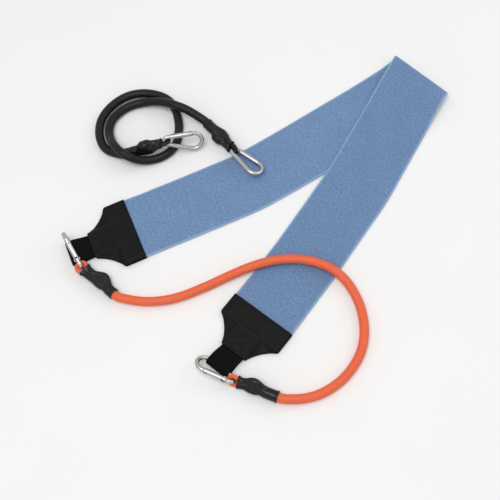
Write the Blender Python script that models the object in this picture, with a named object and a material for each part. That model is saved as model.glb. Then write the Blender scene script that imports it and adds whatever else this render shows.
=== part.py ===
"""Squat resistance band: elastic belt, two tabs, four snap hooks and two rubber tubes, laid out as in the photo."""

import math

import bmesh
import bpy
import numpy as np
from mathutils import Matrix, Vector

MM = 0.001

# Clearances between touching pieces
GAP = 0.3 * MM
HOLE_GAP = 0.3 * MM
SLEEVE_GAP = 0.35 * MM

# The hooks' wire, which the webbing's fold and the eyes go round
WIRE_R = 2.5 * MM

# Belt
TAB_WIDTH = 80 * MM
BAND_WIDTH = TAB_WIDTH - 1 * MM
BAND_THICK = 2.4 * MM
BAND_IN_TAB = 23.5 * MM
PLY_THICK = 1.2 * MM
TAB_NECK_X = 54 * MM
FOLD_RADIUS = 4.5 * MM
WEB_WIDTH = 29 * MM
WEB_THICK = 1.5 * MM
WEB_START_X = BAND_IN_TAB + 1.5 * MM
WEB_CAVITY = WIRE_R + 0.9 * MM
WEB_FOLD_X = 77 * MM
WEB_SLACK = 3.6 * MM

# Snap hook
WIDE_INSIDE_R = 7.25 * MM
NARROW_INSIDE_R = 2.1 * MM
HOOK_INSIDE = 40 * MM
WIDE_R = WIDE_INSIDE_R + WIRE_R
NARROW_R = NARROW_INSIDE_R + WIRE_R
ARC_SPAN = HOOK_INSIDE - WIDE_INSIDE_R - NARROW_INSIDE_R
TAPER = math.asin((WIDE_R - NARROW_R) / ARC_SPAN)
GATE_R = WIRE_R + 0.5 * MM
RIVET_FROM_TIP = 12 * MM
RIVET_R = 1.0 * MM
RIVET_HEAD_R = 1.7 * MM
RIVET_HEAD = 0.6 * MM
TONGUE_HALF = 1.1 * MM
FORK_HALF = TONGUE_HALF + GAP
NOSE_TONGUE = 4.0 * MM
NOSE_HALF = 1.0 * MM
GATE_END_GAP = 0.4 * MM
SPRING_WIRE_R = 0.25 * MM
SPRING_R = 0.9 * MM
SPRING_LENGTH = 9 * MM
SPRING_TURNS = 5
BORE_R = SPRING_R + SPRING_WIRE_R + 0.2 * MM

# Rubber tubes and their ends
TUBE_R = 5.2 * MM
STRAND_R = 2.7 * MM
PINCH_R = 2.6 * MM
PINCH_HALF = 1.85 * MM
EYE_R = WIRE_R + PINCH_R + 0.6 * MM
LEG_Y = STRAND_R + 0.25 * MM
SLEEVE_LENGTH = 46 * MM
SLEEVE_WALL = 0.85 * MM
SLEEVE_START = 4.6 * MM
SLEEVE_END = SLEEVE_START + SLEEVE_LENGTH
BORE_DEPTH = 5 * MM
BALL_R = 5.6 * MM
BALL_CLEAR = BALL_R + GAP + 0.05 * MM
FLOOR_GAP = 0.1 * MM
TUBE_Z = TUBE_R + FLOOR_GAP

# Layout on the floor
SHIFT = Vector((0.6, 10.7, 0.0)) * MM
LEFT_HEM = Vector((-157.25, 35.1, 0.0)) * MM + SHIFT
LEFT_HEADING = math.radians(190.8)
RIGHT_HEM = Vector((-34.2, -102.6, 0.0)) * MM + SHIFT
RIGHT_HEADING = math.radians(219.5)
FOLD_MIDDLE = Vector((216.6, 148.2, 0.0)) * MM + SHIFT
FOLD_HEADING = math.radians(-56.2)
RIGHT_ASIDE = -1.4 * MM

BLUE = ((0.155, 0.245, 0.43), 0.85, 0.0)
LEATHER = ((0.018, 0.018, 0.021), 0.45, 0.0)
WEBBING = ((0.007, 0.007, 0.009), 0.8, 0.0)
STEEL = ((0.75, 0.75, 0.74), 0.18, 1.0)
CORAL = ((0.87, 0.14, 0.07), 0.35, 0.0)
BLACK_RUBBER = ((0.02, 0.02, 0.023), 0.35, 0.0)
SLEEVE_BLACK = ((0.025, 0.027, 0.03), 0.25, 0.0)


def clear_scene():
    for obj in list(bpy.data.objects):
        bpy.data.objects.remove(obj, do_unlink=True)


def material(name, look):
    mat = bpy.data.materials.get(name)
    if mat is None:
        mat = bpy.data.materials.new(name)
        mat.use_nodes = True
        shader = mat.node_tree.nodes["Principled BSDF"]
        shader.inputs["Base Color"].default_value = (*look[0], 1.0)
        shader.inputs["Roughness"].default_value = look[1]
        shader.inputs["Metallic"].default_value = look[2]
        mat.diffuse_color = (*look[0], 1.0)
    return mat


def smoothstep(value):
    value = min(1.0, max(0.0, value))
    return value * value * (3 - 2 * value)


def make_mesh(name, points, faces, sharp=35):
    mesh = bpy.data.meshes.new(name)
    mesh.from_pydata([tuple(p) for p in points], [], faces)
    mesh.update()
    mesh.polygons.foreach_set("use_smooth", [True] * len(mesh.polygons))
    mesh.set_sharp_from_angle(angle=math.radians(sharp))
    return mesh


def add_node(name, mesh, mat, matrix=None, parent=None):
    """One node: a mesh in its own frame, placed by matrix and hung on parent when it has one."""
    obj = bpy.data.objects.new(name, mesh)
    bpy.context.scene.collection.objects.link(obj)
    mesh.materials.clear()
    mesh.materials.append(mat)
    matrix = matrix or Matrix.Identity(4)
    if parent is None:
        obj.matrix_basis = matrix
    else:
        obj.parent = parent[0]
        obj.matrix_basis = parent[1].inverted() @ matrix
    return obj


def add_pivot(name, matrix):
    """An empty on a joint's axis, returned with its matrix."""
    empty = bpy.data.objects.new(name, None)
    empty.empty_display_size = 10 * MM
    bpy.context.scene.collection.objects.link(empty)
    empty.matrix_basis = matrix
    return empty, matrix


def frame_matrix(x_axis, y_axis, z_axis, origin):
    rows = [[x_axis[i], y_axis[i], z_axis[i], origin[i]] for i in range(3)]
    return Matrix(rows + [[0, 0, 0, 1]])


def ring_mesh(name, rings, sharp=35):
    """A closed body from rings of equal count, capped at both ends."""
    count = len(rings[0])
    points = [p for ring in rings for p in ring]
    faces = []
    for i in range(len(rings) - 1):
        for j in range(count):
            k = (j + 1) % count
            faces.append((i * count + j, i * count + k, (i + 1) * count + k, (i + 1) * count + j))
    last = (len(rings) - 1) * count
    faces.append(tuple(range(count - 1, -1, -1)))
    faces.append(tuple(range(last, last + count)))
    return make_mesh(name, points, faces, sharp)


def shell_mesh(name, outer, inner, sharp=35):
    """An open sleeve from outer and inner rings that run the same way."""
    count = len(outer[0])
    rows = len(outer)
    points = [p for ring in outer for p in ring] + [p for ring in inner for p in ring]
    base = rows * count
    faces = []
    for i in range(rows - 1):
        for j in range(count):
            k = (j + 1) % count
            faces.append((i * count + j, i * count + k, (i + 1) * count + k, (i + 1) * count + j))
            a = base + i * count
            b = base + (i + 1) * count
            faces.append((a + j, b + j, b + k, a + k))
    for j in range(count):
        k = (j + 1) % count
        faces.append((j, base + j, base + k, k))
        a = (rows - 1) * count
        b = base + a
        faces.append((a + j, a + k, b + k, b + j))
    return make_mesh(name, points, faces, sharp)


def sheet_mesh(name, grid, thickness, sharp=35):
    """A closed sheet of even thickness about a grid of mid-surface points, grid[row][column]."""
    mid = np.array([[tuple(p) for p in row] for row in grid])
    along = np.gradient(mid, axis=0)
    across = np.gradient(mid, axis=1)
    normal = np.cross(along, across)
    normal /= np.linalg.norm(normal, axis=2, keepdims=True)
    top = mid + normal * thickness / 2
    bottom = mid - normal * thickness / 2
    return grid_solid(name, top, bottom, sharp)


def grid_solid(name, top, bottom, sharp=35):
    """A closed body between two grids of the same size, where top minus bottom runs along (row x column)."""
    rows, columns = top.shape[:2]
    points = np.concatenate([top.reshape(-1, 3), bottom.reshape(-1, 3)])
    base = rows * columns
    faces = []
    for i in range(rows - 1):
        for j in range(columns - 1):
            a = i * columns + j
            faces.append((a, a + columns, a + columns + 1, a + 1))
            faces.append((base + a, base + a + 1, base + a + columns + 1, base + a + columns))
    for i in range(rows - 1):
        a = i * columns
        b = a + columns
        faces.append((a, base + a, base + b, b))
        a += columns - 1
        b += columns - 1
        faces.append((a, b, base + b, base + a))
    for j in range(columns - 1):
        faces.append((j, j + 1, base + j + 1, base + j))
        a = (rows - 1) * columns + j
        faces.append((a, base + a, base + a + 1, a + 1))
    return make_mesh(name, points, faces, sharp)


def cylinder(radius, low, high, count, axis="Z"):
    """Rings of a cylinder from low to high along an axis."""
    rings = []
    for along in (low, high):
        ring = []
        for j in range(count):
            angle = 2 * math.pi * (j + 0.5) / count
            a = radius * math.cos(angle)
            b = radius * math.sin(angle)
            ring.append((a, b, along) if axis == "Z" else (along, a, b))
        rings.append(ring)
    return rings


def box_rings(x0, x1, y0, y1, z0, z1):
    return [
        [(x0, y0, z), (x1, y0, z), (x1, y1, z), (x0, y1, z)]
        for z in (z0, z1)
    ]


def cut(mesh, cutters):
    """The mesh, its faces made flat first, with each cutter mesh taken out of it through exact Booleans."""
    collection = bpy.context.scene.collection
    flat_faces = bmesh.new()
    flat_faces.from_mesh(mesh)
    bmesh.ops.triangulate(flat_faces, faces=flat_faces.faces[:])
    flat_faces.to_mesh(mesh)
    flat_faces.free()
    base = bpy.data.objects.new("cut_base", mesh)
    collection.objects.link(base)
    helpers = [base]
    for cutter in cutters:
        tool = bpy.data.objects.new("cutter", cutter)
        tool.hide_render = True
        tool.display_type = "WIRE"
        collection.objects.link(tool)
        helpers.append(tool)
        boolean = base.modifiers.new("cut", "BOOLEAN")
        boolean.operation = "DIFFERENCE"
        boolean.solver = "EXACT"
        boolean.object = tool
    bpy.context.view_layer.update()
    graph = bpy.context.evaluated_depsgraph_get()
    result = bpy.data.meshes.new_from_object(base.evaluated_get(graph))
    for helper in helpers:
        bpy.data.objects.remove(helper, do_unlink=True)
    result.polygons.foreach_set("use_smooth", [True] * len(result.polygons))
    result.set_sharp_from_angle(angle=math.radians(35))
    return result


def catmull(points, spacing):
    """Evenly spaced points along a smooth curve through route points."""
    route = [Vector(p) for p in points]
    route = [2 * route[0] - route[1]] + route + [2 * route[-1] - route[-2]]
    fine = []
    for i in range(1, len(route) - 2):
        p0, p1, p2, p3 = route[i - 1], route[i], route[i + 1], route[i + 2]
        t0 = 0.0
        t1 = t0 + math.sqrt((p1 - p0).length)
        t2 = t1 + math.sqrt((p2 - p1).length)
        t3 = t2 + math.sqrt((p3 - p2).length)
        for k in range(24):
            t = t1 + (t2 - t1) * k / 24
            a1 = p0 * ((t1 - t) / (t1 - t0)) + p1 * ((t - t0) / (t1 - t0))
            a2 = p1 * ((t2 - t) / (t2 - t1)) + p2 * ((t - t1) / (t2 - t1))
            a3 = p2 * ((t3 - t) / (t3 - t2)) + p3 * ((t - t2) / (t3 - t2))
            b1 = a1 * ((t2 - t) / (t2 - t0)) + a2 * ((t - t0) / (t2 - t0))
            b2 = a2 * ((t3 - t) / (t3 - t1)) + a3 * ((t - t1) / (t3 - t1))
            fine.append(b1 * ((t2 - t) / (t2 - t1)) + b2 * ((t - t1) / (t2 - t1)))
    fine.append(route[-2])
    line = np.array([tuple(p) for p in fine])
    steps = np.linalg.norm(np.diff(line, axis=0), axis=1)
    run = np.concatenate([[0.0], np.cumsum(steps)])
    count = max(2, int(round(run[-1] / spacing)) + 1)
    wanted = np.linspace(0, run[-1], count)
    return [Vector([np.interp(w, run, line[:, axis]) for axis in range(3)]) for w in wanted], run[-1]


# Tabs

def tab_outline():
    """(x, half width) of a tab from hem to neck."""
    half = TAB_WIDTH / 2
    neck = WEB_WIDTH / 2 + 1.7 * MM
    span = TAB_NECK_X - 28.2 * MM
    rise = half - 3.6 * MM - neck
    rows = [(0.0, half), (12 * MM, half), (20 * MM, half), (22 * MM, half), (24.4 * MM, half)]
    rows += [(26.6 * MM, half - 1.1 * MM), (28.2 * MM, half - 3.6 * MM)]
    for along, drop in ((0.09, 0.16), (0.2, 0.31), (0.34, 0.49), (0.5, 0.65), (0.64, 0.77), (0.82, 0.9), (1, 1)):
        rows.append((28.2 * MM + span * along, half - 3.6 * MM - rise * drop))
    return rows


def ply_under(x, y):
    """Height of the underside of the front ply."""
    low = PLY_THICK + GAP
    over_band = BAND_THICK + GAP
    over_web = 2 * WEB_THICK + 2 * GAP
    elastic = over_band * (1 - smoothstep((x - BAND_IN_TAB - 0.5 * MM) / (7 * MM)))
    beside = max(0.0, abs(y) - WEB_WIDTH / 2 - 0.4 * MM)
    rise = (x - WEB_START_X + 5 * MM) / (4.5 * MM)
    web = max(0.0, over_web - 0.65 * beside) * smoothstep(rise)
    return low + max(elastic, web)


def tab_matrix(hem, heading):
    return Matrix.Translation(hem) @ Matrix.Rotation(heading, 4, "Z")


def build_tab(side, hem, heading):
    matrix = tab_matrix(hem, heading)
    outline = tab_outline()
    core = WEB_WIDTH / 2 + 0.4 * MM
    top = []
    bottom = []
    for x, half in outline:
        outer = [core + (half - core) * t for t in (0.0, 0.3, 0.6, 1.0)]
        columns = [-y for y in reversed(outer)] + [0.0] + outer
        under = [ply_under(x, y) for y in columns]
        bottom.append([(x, y, z) for y, z in zip(columns, under)])
        top.append([(x, y, z + PLY_THICK) for y, z in zip(columns, under)])
    front = grid_solid("front", np.array(top), np.array(bottom))
    add_node(f"{side}_tab_front", front, material("faux leather", LEATHER), matrix)
    loop = [(x, half) for x, half in outline] + [(x, -half) for x, half in reversed(outline)]
    loop = loop[::-1]
    rings = [[(x, y, z) for x, y in loop] for z in (0.0, PLY_THICK)]
    add_node(f"{side}_tab_back", ring_mesh("back", rings), material("faux leather", LEATHER), matrix)


# Webbing loop

def web_levels():
    """Heights of the lower ply, the upper ply and the fold's axis."""
    low = PLY_THICK + GAP + WEB_THICK / 2
    high = low + WEB_THICK + GAP
    axis = WEB_CAVITY + WEB_THICK + FLOOR_GAP
    return low, high, axis


def build_webbing(side, hem, heading, aside):
    low, high, axis = web_levels()
    radius = WEB_CAVITY + WEB_THICK / 2
    slack = WEB_FOLD_X - WEB_SLACK
    neck = TAB_NECK_X
    run = slack - neck
    path = [(WEB_START_X, low), (neck, low)]
    for t in (0.25, 0.5, 0.75, 1.0):
        path.append((neck + run * t, low + (axis - radius - low) * smoothstep(t * 0.85 + 0.15 * t * t)))
    for k in range(11):
        angle = -math.pi / 2 + math.pi * k / 10
        path.append((WEB_FOLD_X + radius * math.cos(angle), axis + radius * math.sin(angle)))
    for t in (1.0, 0.75, 0.5, 0.25):
        path.append((neck + run * t, high + (axis + radius - high) * smoothstep(t * 0.85 + 0.15 * t * t)))
    path += [(neck, high), (WEB_START_X, high)]
    half = WEB_WIDTH / 2
    grid = []
    for x, z in path:
        over = aside * smoothstep((x - neck + 4 * MM) / (18 * MM))
        grid.append([(x, y + over, z) for y in (half, -half)])
    mesh = sheet_mesh("webbing", grid, WEB_THICK)
    add_node(f"{side}_webbing_loop", mesh, material("webbing", WEBBING), tab_matrix(hem, heading))


# Elastic belt

LEFT_ROUTE = [
    (-157.2, 35.1), (-128.7, 40.5), (-100.0, 45.6), (-71.8, 50.9), (-43.7, 56.2), (-20.3, 60.9),
    (1.6, 67.3), (23.5, 74.4), (49.0, 83.2), (74.5, 92.4), (109.0, 104.9), (136.0, 114.6), (163.0, 124.8),
    (188.0, 135.0),
]
RIGHT_ROUTE = [
    (185.0, 114.0), (165.0, 91.5), (134.0, 56.8), (103.0, 22.5), (77.3, -1.7), (51.6, -25.8), (26.0, -50.0),
    (-4.1, -76.4), (-34.2, -102.6),
]


def band_rows():
    """(centre, row direction, half length, arm, arc angle) for each row of the belt."""
    fold_dir = Vector((math.cos(FOLD_HEADING), math.sin(FOLD_HEADING), 0))
    fold_out = Vector((-fold_dir.y, fold_dir.x, 0))
    half = BAND_WIDTH / 2
    bend = FOLD_RADIUS + BAND_THICK / 2
    side = 1.25 * MM
    first = FOLD_MIDDLE - fold_out * bend - fold_dir * side
    last = FOLD_MIDDLE - fold_out * bend + fold_dir * side
    rows = []

    left_out = Vector((math.cos(LEFT_HEADING), math.sin(LEFT_HEADING), 0))
    start = LEFT_HEM + left_out * BAND_IN_TAB
    route = [start, LEFT_HEM + left_out * BAND_IN_TAB / 2]
    route += [Vector((x, y, 0)) * MM + SHIFT for x, y in LEFT_ROUTE] + [first]
    line, length = catmull(route, 15 * MM)
    rows += arm_rows(line, length, fold_dir, -1, "left", half)
    for k in range(1, 8):
        angle = math.pi * k / 8
        centre = first.lerp(last, k / 8) + fold_out * FOLD_RADIUS * math.sin(angle)
        skew = math.radians(14)
        rows.append((centre, fold_dir, half / math.cos(skew), "bend", angle))
    right_out = Vector((math.cos(RIGHT_HEADING), math.sin(RIGHT_HEADING), 0))
    route = [last] + [Vector((x, y, 0)) * MM + SHIFT for x, y in RIGHT_ROUTE]
    route += [RIGHT_HEM + right_out * BAND_IN_TAB / 2, RIGHT_HEM + right_out * BAND_IN_TAB]
    line, length = catmull(route, 12 * MM)
    rows += arm_rows(line, length, fold_dir, 1, "right", half)
    return rows


def arm_rows(line, length, fold_dir, sense, arm, half):
    rows = []
    for i, centre in enumerate(line):
        before = line[max(0, i - 1)]
        after = line[min(len(line) - 1, i + 1)]
        heading = math.atan2((after - before).y, (after - before).x)
        square = heading + sense * math.pi / 2
        run = length * i / (len(line) - 1)
        from_fold = run if arm == "right" else length - run
        weight = 1 - smoothstep((from_fold - 8 * MM) / (75 * MM))
        turn = (FOLD_HEADING - square + math.pi) % (2 * math.pi) - math.pi
        angle = square + turn * weight
        row_dir = Vector((math.cos(angle), math.sin(angle), 0))
        rows.append((centre, row_dir, half / math.cos(turn * weight), arm, 0.0))
    return rows


def left_arm_edge():
    """The left arm's centre line as arrays, for the height of what lies on it."""
    left_out = Vector((math.cos(LEFT_HEADING), math.sin(LEFT_HEADING), 0))
    route = [LEFT_HEM + left_out * BAND_IN_TAB] + [Vector((x, y, 0)) * MM + SHIFT for x, y in LEFT_ROUTE]
    route.append(FOLD_MIDDLE)
    line, _ = catmull(route, 8 * MM)
    return np.array([(p.x, p.y) for p in line])


def over_left_arm(x, y, centre_line):
    """1 over the left arm, falling to 0 past its lower edge."""
    distance = np.hypot(centre_line[:, 0] - x, centre_line[:, 1] - y)
    i = int(distance.argmin())
    a = centre_line[max(0, i - 1)]
    b = centre_line[min(len(centre_line) - 1, i + 1)]
    unit = (b - a) / np.linalg.norm(b - a)
    below = -(unit[0] * (y - centre_line[i, 1]) - unit[1] * (x - centre_line[i, 0]))
    outside = below - BAND_WIDTH / 2
    return 1 - smoothstep((outside - 2 * MM) / (23 * MM))


def build_band():
    fold_dir = Vector((math.cos(FOLD_HEADING), math.sin(FOLD_HEADING), 0))
    fold_out = Vector((-fold_dir.y, fold_dir.x, 0))
    bend = FOLD_RADIUS + BAND_THICK / 2
    flat = BAND_THICK / 2
    in_tab = PLY_THICK + GAP + BAND_THICK / 2
    on_arm = BAND_THICK + GAP + BAND_THICK / 2
    centre_line = left_arm_edge()
    left_out = Vector((math.cos(LEFT_HEADING), math.sin(LEFT_HEADING), 0))
    right_out = Vector((math.cos(RIGHT_HEADING), math.sin(RIGHT_HEADING), 0))
    grid = []
    for centre, row_dir, half, arm, angle in band_rows():
        row = []
        for k in range(9):
            point = centre + row_dir * half * (k / 4 - 1)
            if arm == "bend":
                z = flat + FOLD_RADIUS - FOLD_RADIUS * math.cos(angle)
            elif arm == "left":
                from_hem = -(point - LEFT_HEM).dot(left_out)
                z = in_tab + (flat - in_tab) * smoothstep((from_hem - 1 * MM) / (26 * MM))
            else:
                from_hem = -(point - RIGHT_HEM).dot(right_out)
                z = in_tab + (flat - in_tab) * smoothstep((from_hem - 1 * MM) / (26 * MM))
                over = flat + (on_arm - flat) * over_left_arm(point.x, point.y, centre_line)
                from_fold = -(point - FOLD_MIDDLE).dot(fold_out) - bend
                top = flat + 2 * FOLD_RADIUS
                lift = (top - on_arm) * (1 - smoothstep(from_fold / (70 * MM)))
                z = max(z, over + lift)
            row.append((point.x, point.y, z))
        grid.append(row)
    add_node("elastic_band", sheet_mesh("band", grid, BAND_THICK), material("woven elastic", BLUE))


# Snap hook. Its own frame: origin at the narrow end of the wire's centre line, +X to the wide end,
# +Y to the gate, Z along the rivet.

def on_gate_line(x):
    """Point of the gate-side tangent line at x."""
    start_x = NARROW_R - NARROW_R * math.sin(TAPER)
    start_y = NARROW_R * math.cos(TAPER)
    return Vector((x, start_y + (x - start_x) * math.tan(TAPER), 0))


RIVET = on_gate_line(RIVET_FROM_TIP - WIRE_R)
NOSE = on_gate_line(NARROW_R + ARC_SPAN - WIDE_R * math.sin(TAPER))
GATE_RUN = (NOSE - RIVET).length
GATE_DIR = (NOSE - RIVET).normalized()
SPINE_NARROW = Vector((NARROW_R - NARROW_R * math.sin(TAPER), -NARROW_R * math.cos(TAPER), 0))
SPINE_WIDE = Vector((NARROW_R + ARC_SPAN - WIDE_R * math.sin(TAPER), -WIDE_R * math.cos(TAPER), 0))
SPINE_RUN = (SPINE_WIDE - SPINE_NARROW).length


def wire_ring(centre, direction, in_plane, out_plane, count=10):
    """A ring about a centre in the hook's plane, limited to in_plane and out_plane half sizes."""
    side = Vector((-direction.y, direction.x, 0))
    ring = []
    for j in range(count):
        angle = 2 * math.pi * (j + 0.5) / count
        a = max(-in_plane, min(in_plane, WIRE_R * math.cos(angle)))
        b = max(-out_plane, min(out_plane, WIRE_R * math.sin(angle)))
        ring.append(centre + side * a + Vector((0, 0, b)))
    return ring


def hook_frame_mesh():
    rings = []
    back = -GATE_DIR
    clear = GATE_R + GAP + 0.15 * MM
    for s in (0.96, 0.75, 0.4, 0.0):
        half = WIRE_R * math.sqrt(1 - s * s) if s else WIRE_R
        rings.append(wire_ring(RIVET + GATE_DIR * WIRE_R * s, back, half, TONGUE_HALF))
    rings.append(wire_ring(RIVET - GATE_DIR * clear, back, WIRE_R, TONGUE_HALF))
    rings.append(wire_ring(RIVET - GATE_DIR * (clear + 0.25 * MM), back, WIRE_R, WIRE_R))
    narrow = Vector((NARROW_R, 0, 0))
    start = math.pi / 2 + TAPER
    for k in range(8):
        angle = start + (math.pi * 1.5 - TAPER - start) * k / 7
        out = Vector((math.cos(angle), math.sin(angle), 0))
        rings.append(wire_ring(narrow + out * NARROW_R, Vector((-out.y, out.x, 0)), WIRE_R, WIRE_R))
    wide = Vector((NARROW_R + ARC_SPAN, 0, 0))
    start = -math.pi / 2 - TAPER
    for k in range(12):
        angle = start + (math.pi + 2 * TAPER) * k / 11
        out = Vector((math.cos(angle), math.sin(angle), 0))
        rings.append(wire_ring(wide + out * WIDE_R, Vector((-out.y, out.x, 0)), WIRE_R, WIRE_R))
    rings.append(wire_ring(NOSE - GATE_DIR * 0.25 * MM, back, WIRE_R, NOSE_HALF))
    rings.append(wire_ring(NOSE - GATE_DIR * NOSE_TONGUE, back, WIRE_R, NOSE_HALF))
    hole = ring_mesh("hole", [
        [Vector(p) + RIVET for p in ring] for ring in cylinder(RIVET_R + HOLE_GAP, -4 * MM, 4 * MM, 12)
    ])
    return cut(ring_mesh("hook", rings), [hole])


def gate_mesh():
    """The gate in its own frame: origin on the rivet, +X to the nose."""
    rings = []
    end = GATE_RUN - GATE_END_GAP
    for x in (-0.96, -0.8, -0.5, 0.0):
        half = GATE_R * math.sqrt(1 - x * x) if x else GATE_R
        rings.append(gate_ring(GATE_R * x, half, GATE_R))
    rings.append(gate_ring(end * 0.5, GATE_R, GATE_R))
    rings.append(gate_ring(end - 0.5 * MM, GATE_R, GATE_R))
    rings.append(gate_ring(end, GATE_R - 0.4 * MM, GATE_R - 0.4 * MM))
    slot = WIRE_R + 0.5 * MM
    fork = ring_mesh("fork", box_rings(-5 * MM, slot, -5 * MM, 5 * MM, -FORK_HALF, FORK_HALF))
    nose_from = end - NOSE_TONGUE - 0.2 * MM
    nose_half = NOSE_HALF + GAP
    nose = ring_mesh("nose", box_rings(nose_from, end + 2 * MM, -5 * MM, 5 * MM, -nose_half, nose_half))
    bore_end = slot + SPRING_LENGTH + 0.9 * MM
    bore = ring_mesh("bore", cylinder(BORE_R, slot - 1 * MM, bore_end, 10, "X"))
    hole = ring_mesh("hole", cylinder(RIVET_R + HOLE_GAP, -5 * MM, 5 * MM, 12))
    return cut(ring_mesh("gate", rings), [bore, hole, fork, nose])


def gate_ring(x, in_plane, out_plane, count=10):
    ring = []
    for j in range(count):
        angle = 2 * math.pi * (j + 0.5) / count
        a = max(-in_plane, min(in_plane, GATE_R * math.cos(angle)))
        b = max(-out_plane, min(out_plane, GATE_R * math.sin(angle)))
        ring.append((x, a, b))
    return ring


def rivet_mesh():
    low = GATE_R + GAP
    high = low + RIVET_HEAD
    rings = []
    for radius, z in (
        (RIVET_HEAD_R * 0.7, -high), (RIVET_HEAD_R, -high + 0.3 * MM), (RIVET_HEAD_R, -low), (RIVET_R, -low + 0.01 * MM),
        (RIVET_R, low - 0.01 * MM), (RIVET_HEAD_R, low), (RIVET_HEAD_R, high - 0.3 * MM), (RIVET_HEAD_R * 0.7, high),
    ):
        rings.append(cylinder(radius, z, z, 10)[0])
    return ring_mesh("rivet", rings)


def spring_mesh():
    """A closing spring that lies in the gate's bore, in the gate's frame."""
    first = WIRE_R + 0.5 * MM + 0.45 * MM
    steps = SPRING_TURNS * 8
    rings = []
    for i in range(steps + 1):
        angle = 2 * math.pi * i / 8
        x = first + SPRING_LENGTH * i / steps
        out = Vector((0, math.cos(angle), math.sin(angle)))
        run = Vector((SPRING_LENGTH / (2 * math.pi * SPRING_TURNS), 0, 0))
        tangent = (run + Vector((0, -math.sin(angle), math.cos(angle))) * SPRING_R).normalized()
        side = tangent.cross(out)
        centre = Vector((x, 0, 0)) + out * SPRING_R
        ring = []
        for j in range(4):
            turn = 2 * math.pi * j / 4
            ring.append(centre + out * SPRING_WIRE_R * math.cos(turn) + side * SPRING_WIRE_R * math.sin(turn))
        rings.append(ring)
    return ring_mesh("spring", rings, 60)


def facing_out(mesh):
    """Turns the faces outward where the signed volume says that they face in."""
    mesh.calc_loop_triangles()
    volume = 0.0
    for tri in mesh.loop_triangles:
        a, b, c = (mesh.vertices[i].co for i in tri.vertices)
        volume += a.dot(b.cross(c))
    if volume < 0:
        mesh.flip_normals()
    return mesh


def build_hook(name, matrix, pivot, masters):
    steel = material("steel", STEEL)
    gate_turn = Matrix.Rotation(math.atan2(GATE_DIR.y, GATE_DIR.x), 4, "Z")
    gate_matrix = matrix @ Matrix.Translation(RIVET) @ gate_turn
    rivet_matrix = matrix @ Matrix.Translation(RIVET)
    add_node(f"{name}_hook", masters["frame"].copy(), steel, matrix, pivot)
    add_node(f"{name}_gate", masters["gate"].copy(), steel, gate_matrix, pivot)
    add_node(f"{name}_rivet", masters["rivet"].copy(), steel, rivet_matrix, pivot)
    add_node(f"{name}_gate_spring", masters["spring"].copy(), steel, gate_matrix, pivot)
    report_axis(f"{name}_gate", rivet_matrix.translation, matrix.col[2].to_3d())


def report_axis(name, point, direction):
    direction = direction.normalized()
    print(f"axis {name} point", [round(c, 5) for c in point], "direction", [round(c, 5) for c in direction])


# Tube ends. Their own frame: origin on the hook's wire, +X along the sleeve towards the tube,
# Z along the wire, the running strand on the +Y side.

def twisted(point, twist):
    """A point of a tube end turned about its axis, more the further it is from the eye."""
    x, y, z = point
    angle = twist * smoothstep((x - 3 * MM) / (23 * MM))
    return Vector((x, y * math.cos(angle) - z * math.sin(angle), y * math.sin(angle) + z * math.cos(angle)))


def main_strand(x, ball):
    """(y, radius) of the strand that runs from the tube past the ball, at x. ball is the ball's (x, y)."""
    past = x - ball[0]
    radius = STRAND_R + (TUBE_R - STRAND_R) * smoothstep((past - 7.5 * MM) / (7 * MM))
    straight = LEG_Y * (1 - smoothstep((past - 7 * MM) / (8 * MM)))
    beside_ball = max(0.0, ball[1] + BALL_CLEAR + STRAND_R + 0.1 * MM - LEG_Y)
    return straight + beside_ball * (1 - smoothstep(abs(past) / (14.5 * MM))), radius


def leg(x):
    """(distance from the middle, half size along the wire) of either leg of the eye at x."""
    spread = LEG_Y + (EYE_R - LEG_Y) * (1 - smoothstep((x + 2 * MM) / (13 * MM)))
    return min(spread, EYE_R), STRAND_R + (PINCH_HALF - STRAND_R) * smoothstep((9 * MM - x) / (9 * MM))


def return_y(x, ball):
    """The return leg's y on its way to the ball."""
    return -leg(x)[0] + (ball[1] + LEG_Y) * 0.3 * smoothstep((x - 12 * MM) / (ball[0] - 18 * MM))


def reach(x, strand, radius=None):
    """How far out a strand's surface reaches at x, where strand gives its (y, radius) along the way."""
    best = 0.0
    for k in range(-24, 25):
        at = x + k * 0.25 * MM
        y, own = strand(at)
        own = radius or own
        if abs(at - x) < own:
            best = max(best, y + math.sqrt(own * own - (at - x) ** 2))
    return best


def leg_stations(ball):
    return [x * MM for x in (1.2, 3.5, 6, 8.5, 11, 14) if x * MM < ball[0] - 13 * MM]


def eye_path(ball):
    """(x, y, half size in plane, half size along the wire) of the eye's centre line."""
    path = []
    for past in (17, 15, 13.5, 12, 10.5, 9, 7.5, 6, 4, 2, 0, -2, -4, -6, -7.5, -9, -11):
        x = SLEEVE_END - BORE_DEPTH if past == 17 else ball[0] + past * MM
        y, radius = main_strand(x, ball)
        path.append((x, y, radius, radius))
    for x in leg_stations(ball)[::-1]:
        y, flat = leg(x)
        path.append((x, y, STRAND_R, flat))
    for k in range(9):
        angle = math.pi / 2 + math.pi * k / 8
        path.append((EYE_R * math.cos(angle), EYE_R * math.sin(angle), PINCH_R, PINCH_HALF))
    for x in leg_stations(ball):
        path.append((x, return_y(x, ball), STRAND_R, leg(x)[1]))
    for past in (-11, -6.3):
        x = ball[0] + past * MM
        path.append((x, return_y(x, ball), STRAND_R, STRAND_R))
    return path


def eye_mesh(ball, twist):
    path = eye_path(ball)
    rings = []
    for i, (x, y, in_plane, along) in enumerate(path):
        before = path[max(0, i - 1)]
        after = path[min(len(path) - 1, i + 1)]
        tangent = Vector((after[0] - before[0], after[1] - before[1])).normalized()
        side = (-tangent.y, tangent.x)
        ring = []
        for j in range(10):
            angle = 2 * math.pi * j / 10
            a = in_plane * math.cos(angle)
            ring.append(twisted((x + side[0] * a, y + side[1] * a, along * math.sin(angle)), twist))
        rings.append(ring)
    return ring_mesh("eye", rings, 60)


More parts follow.
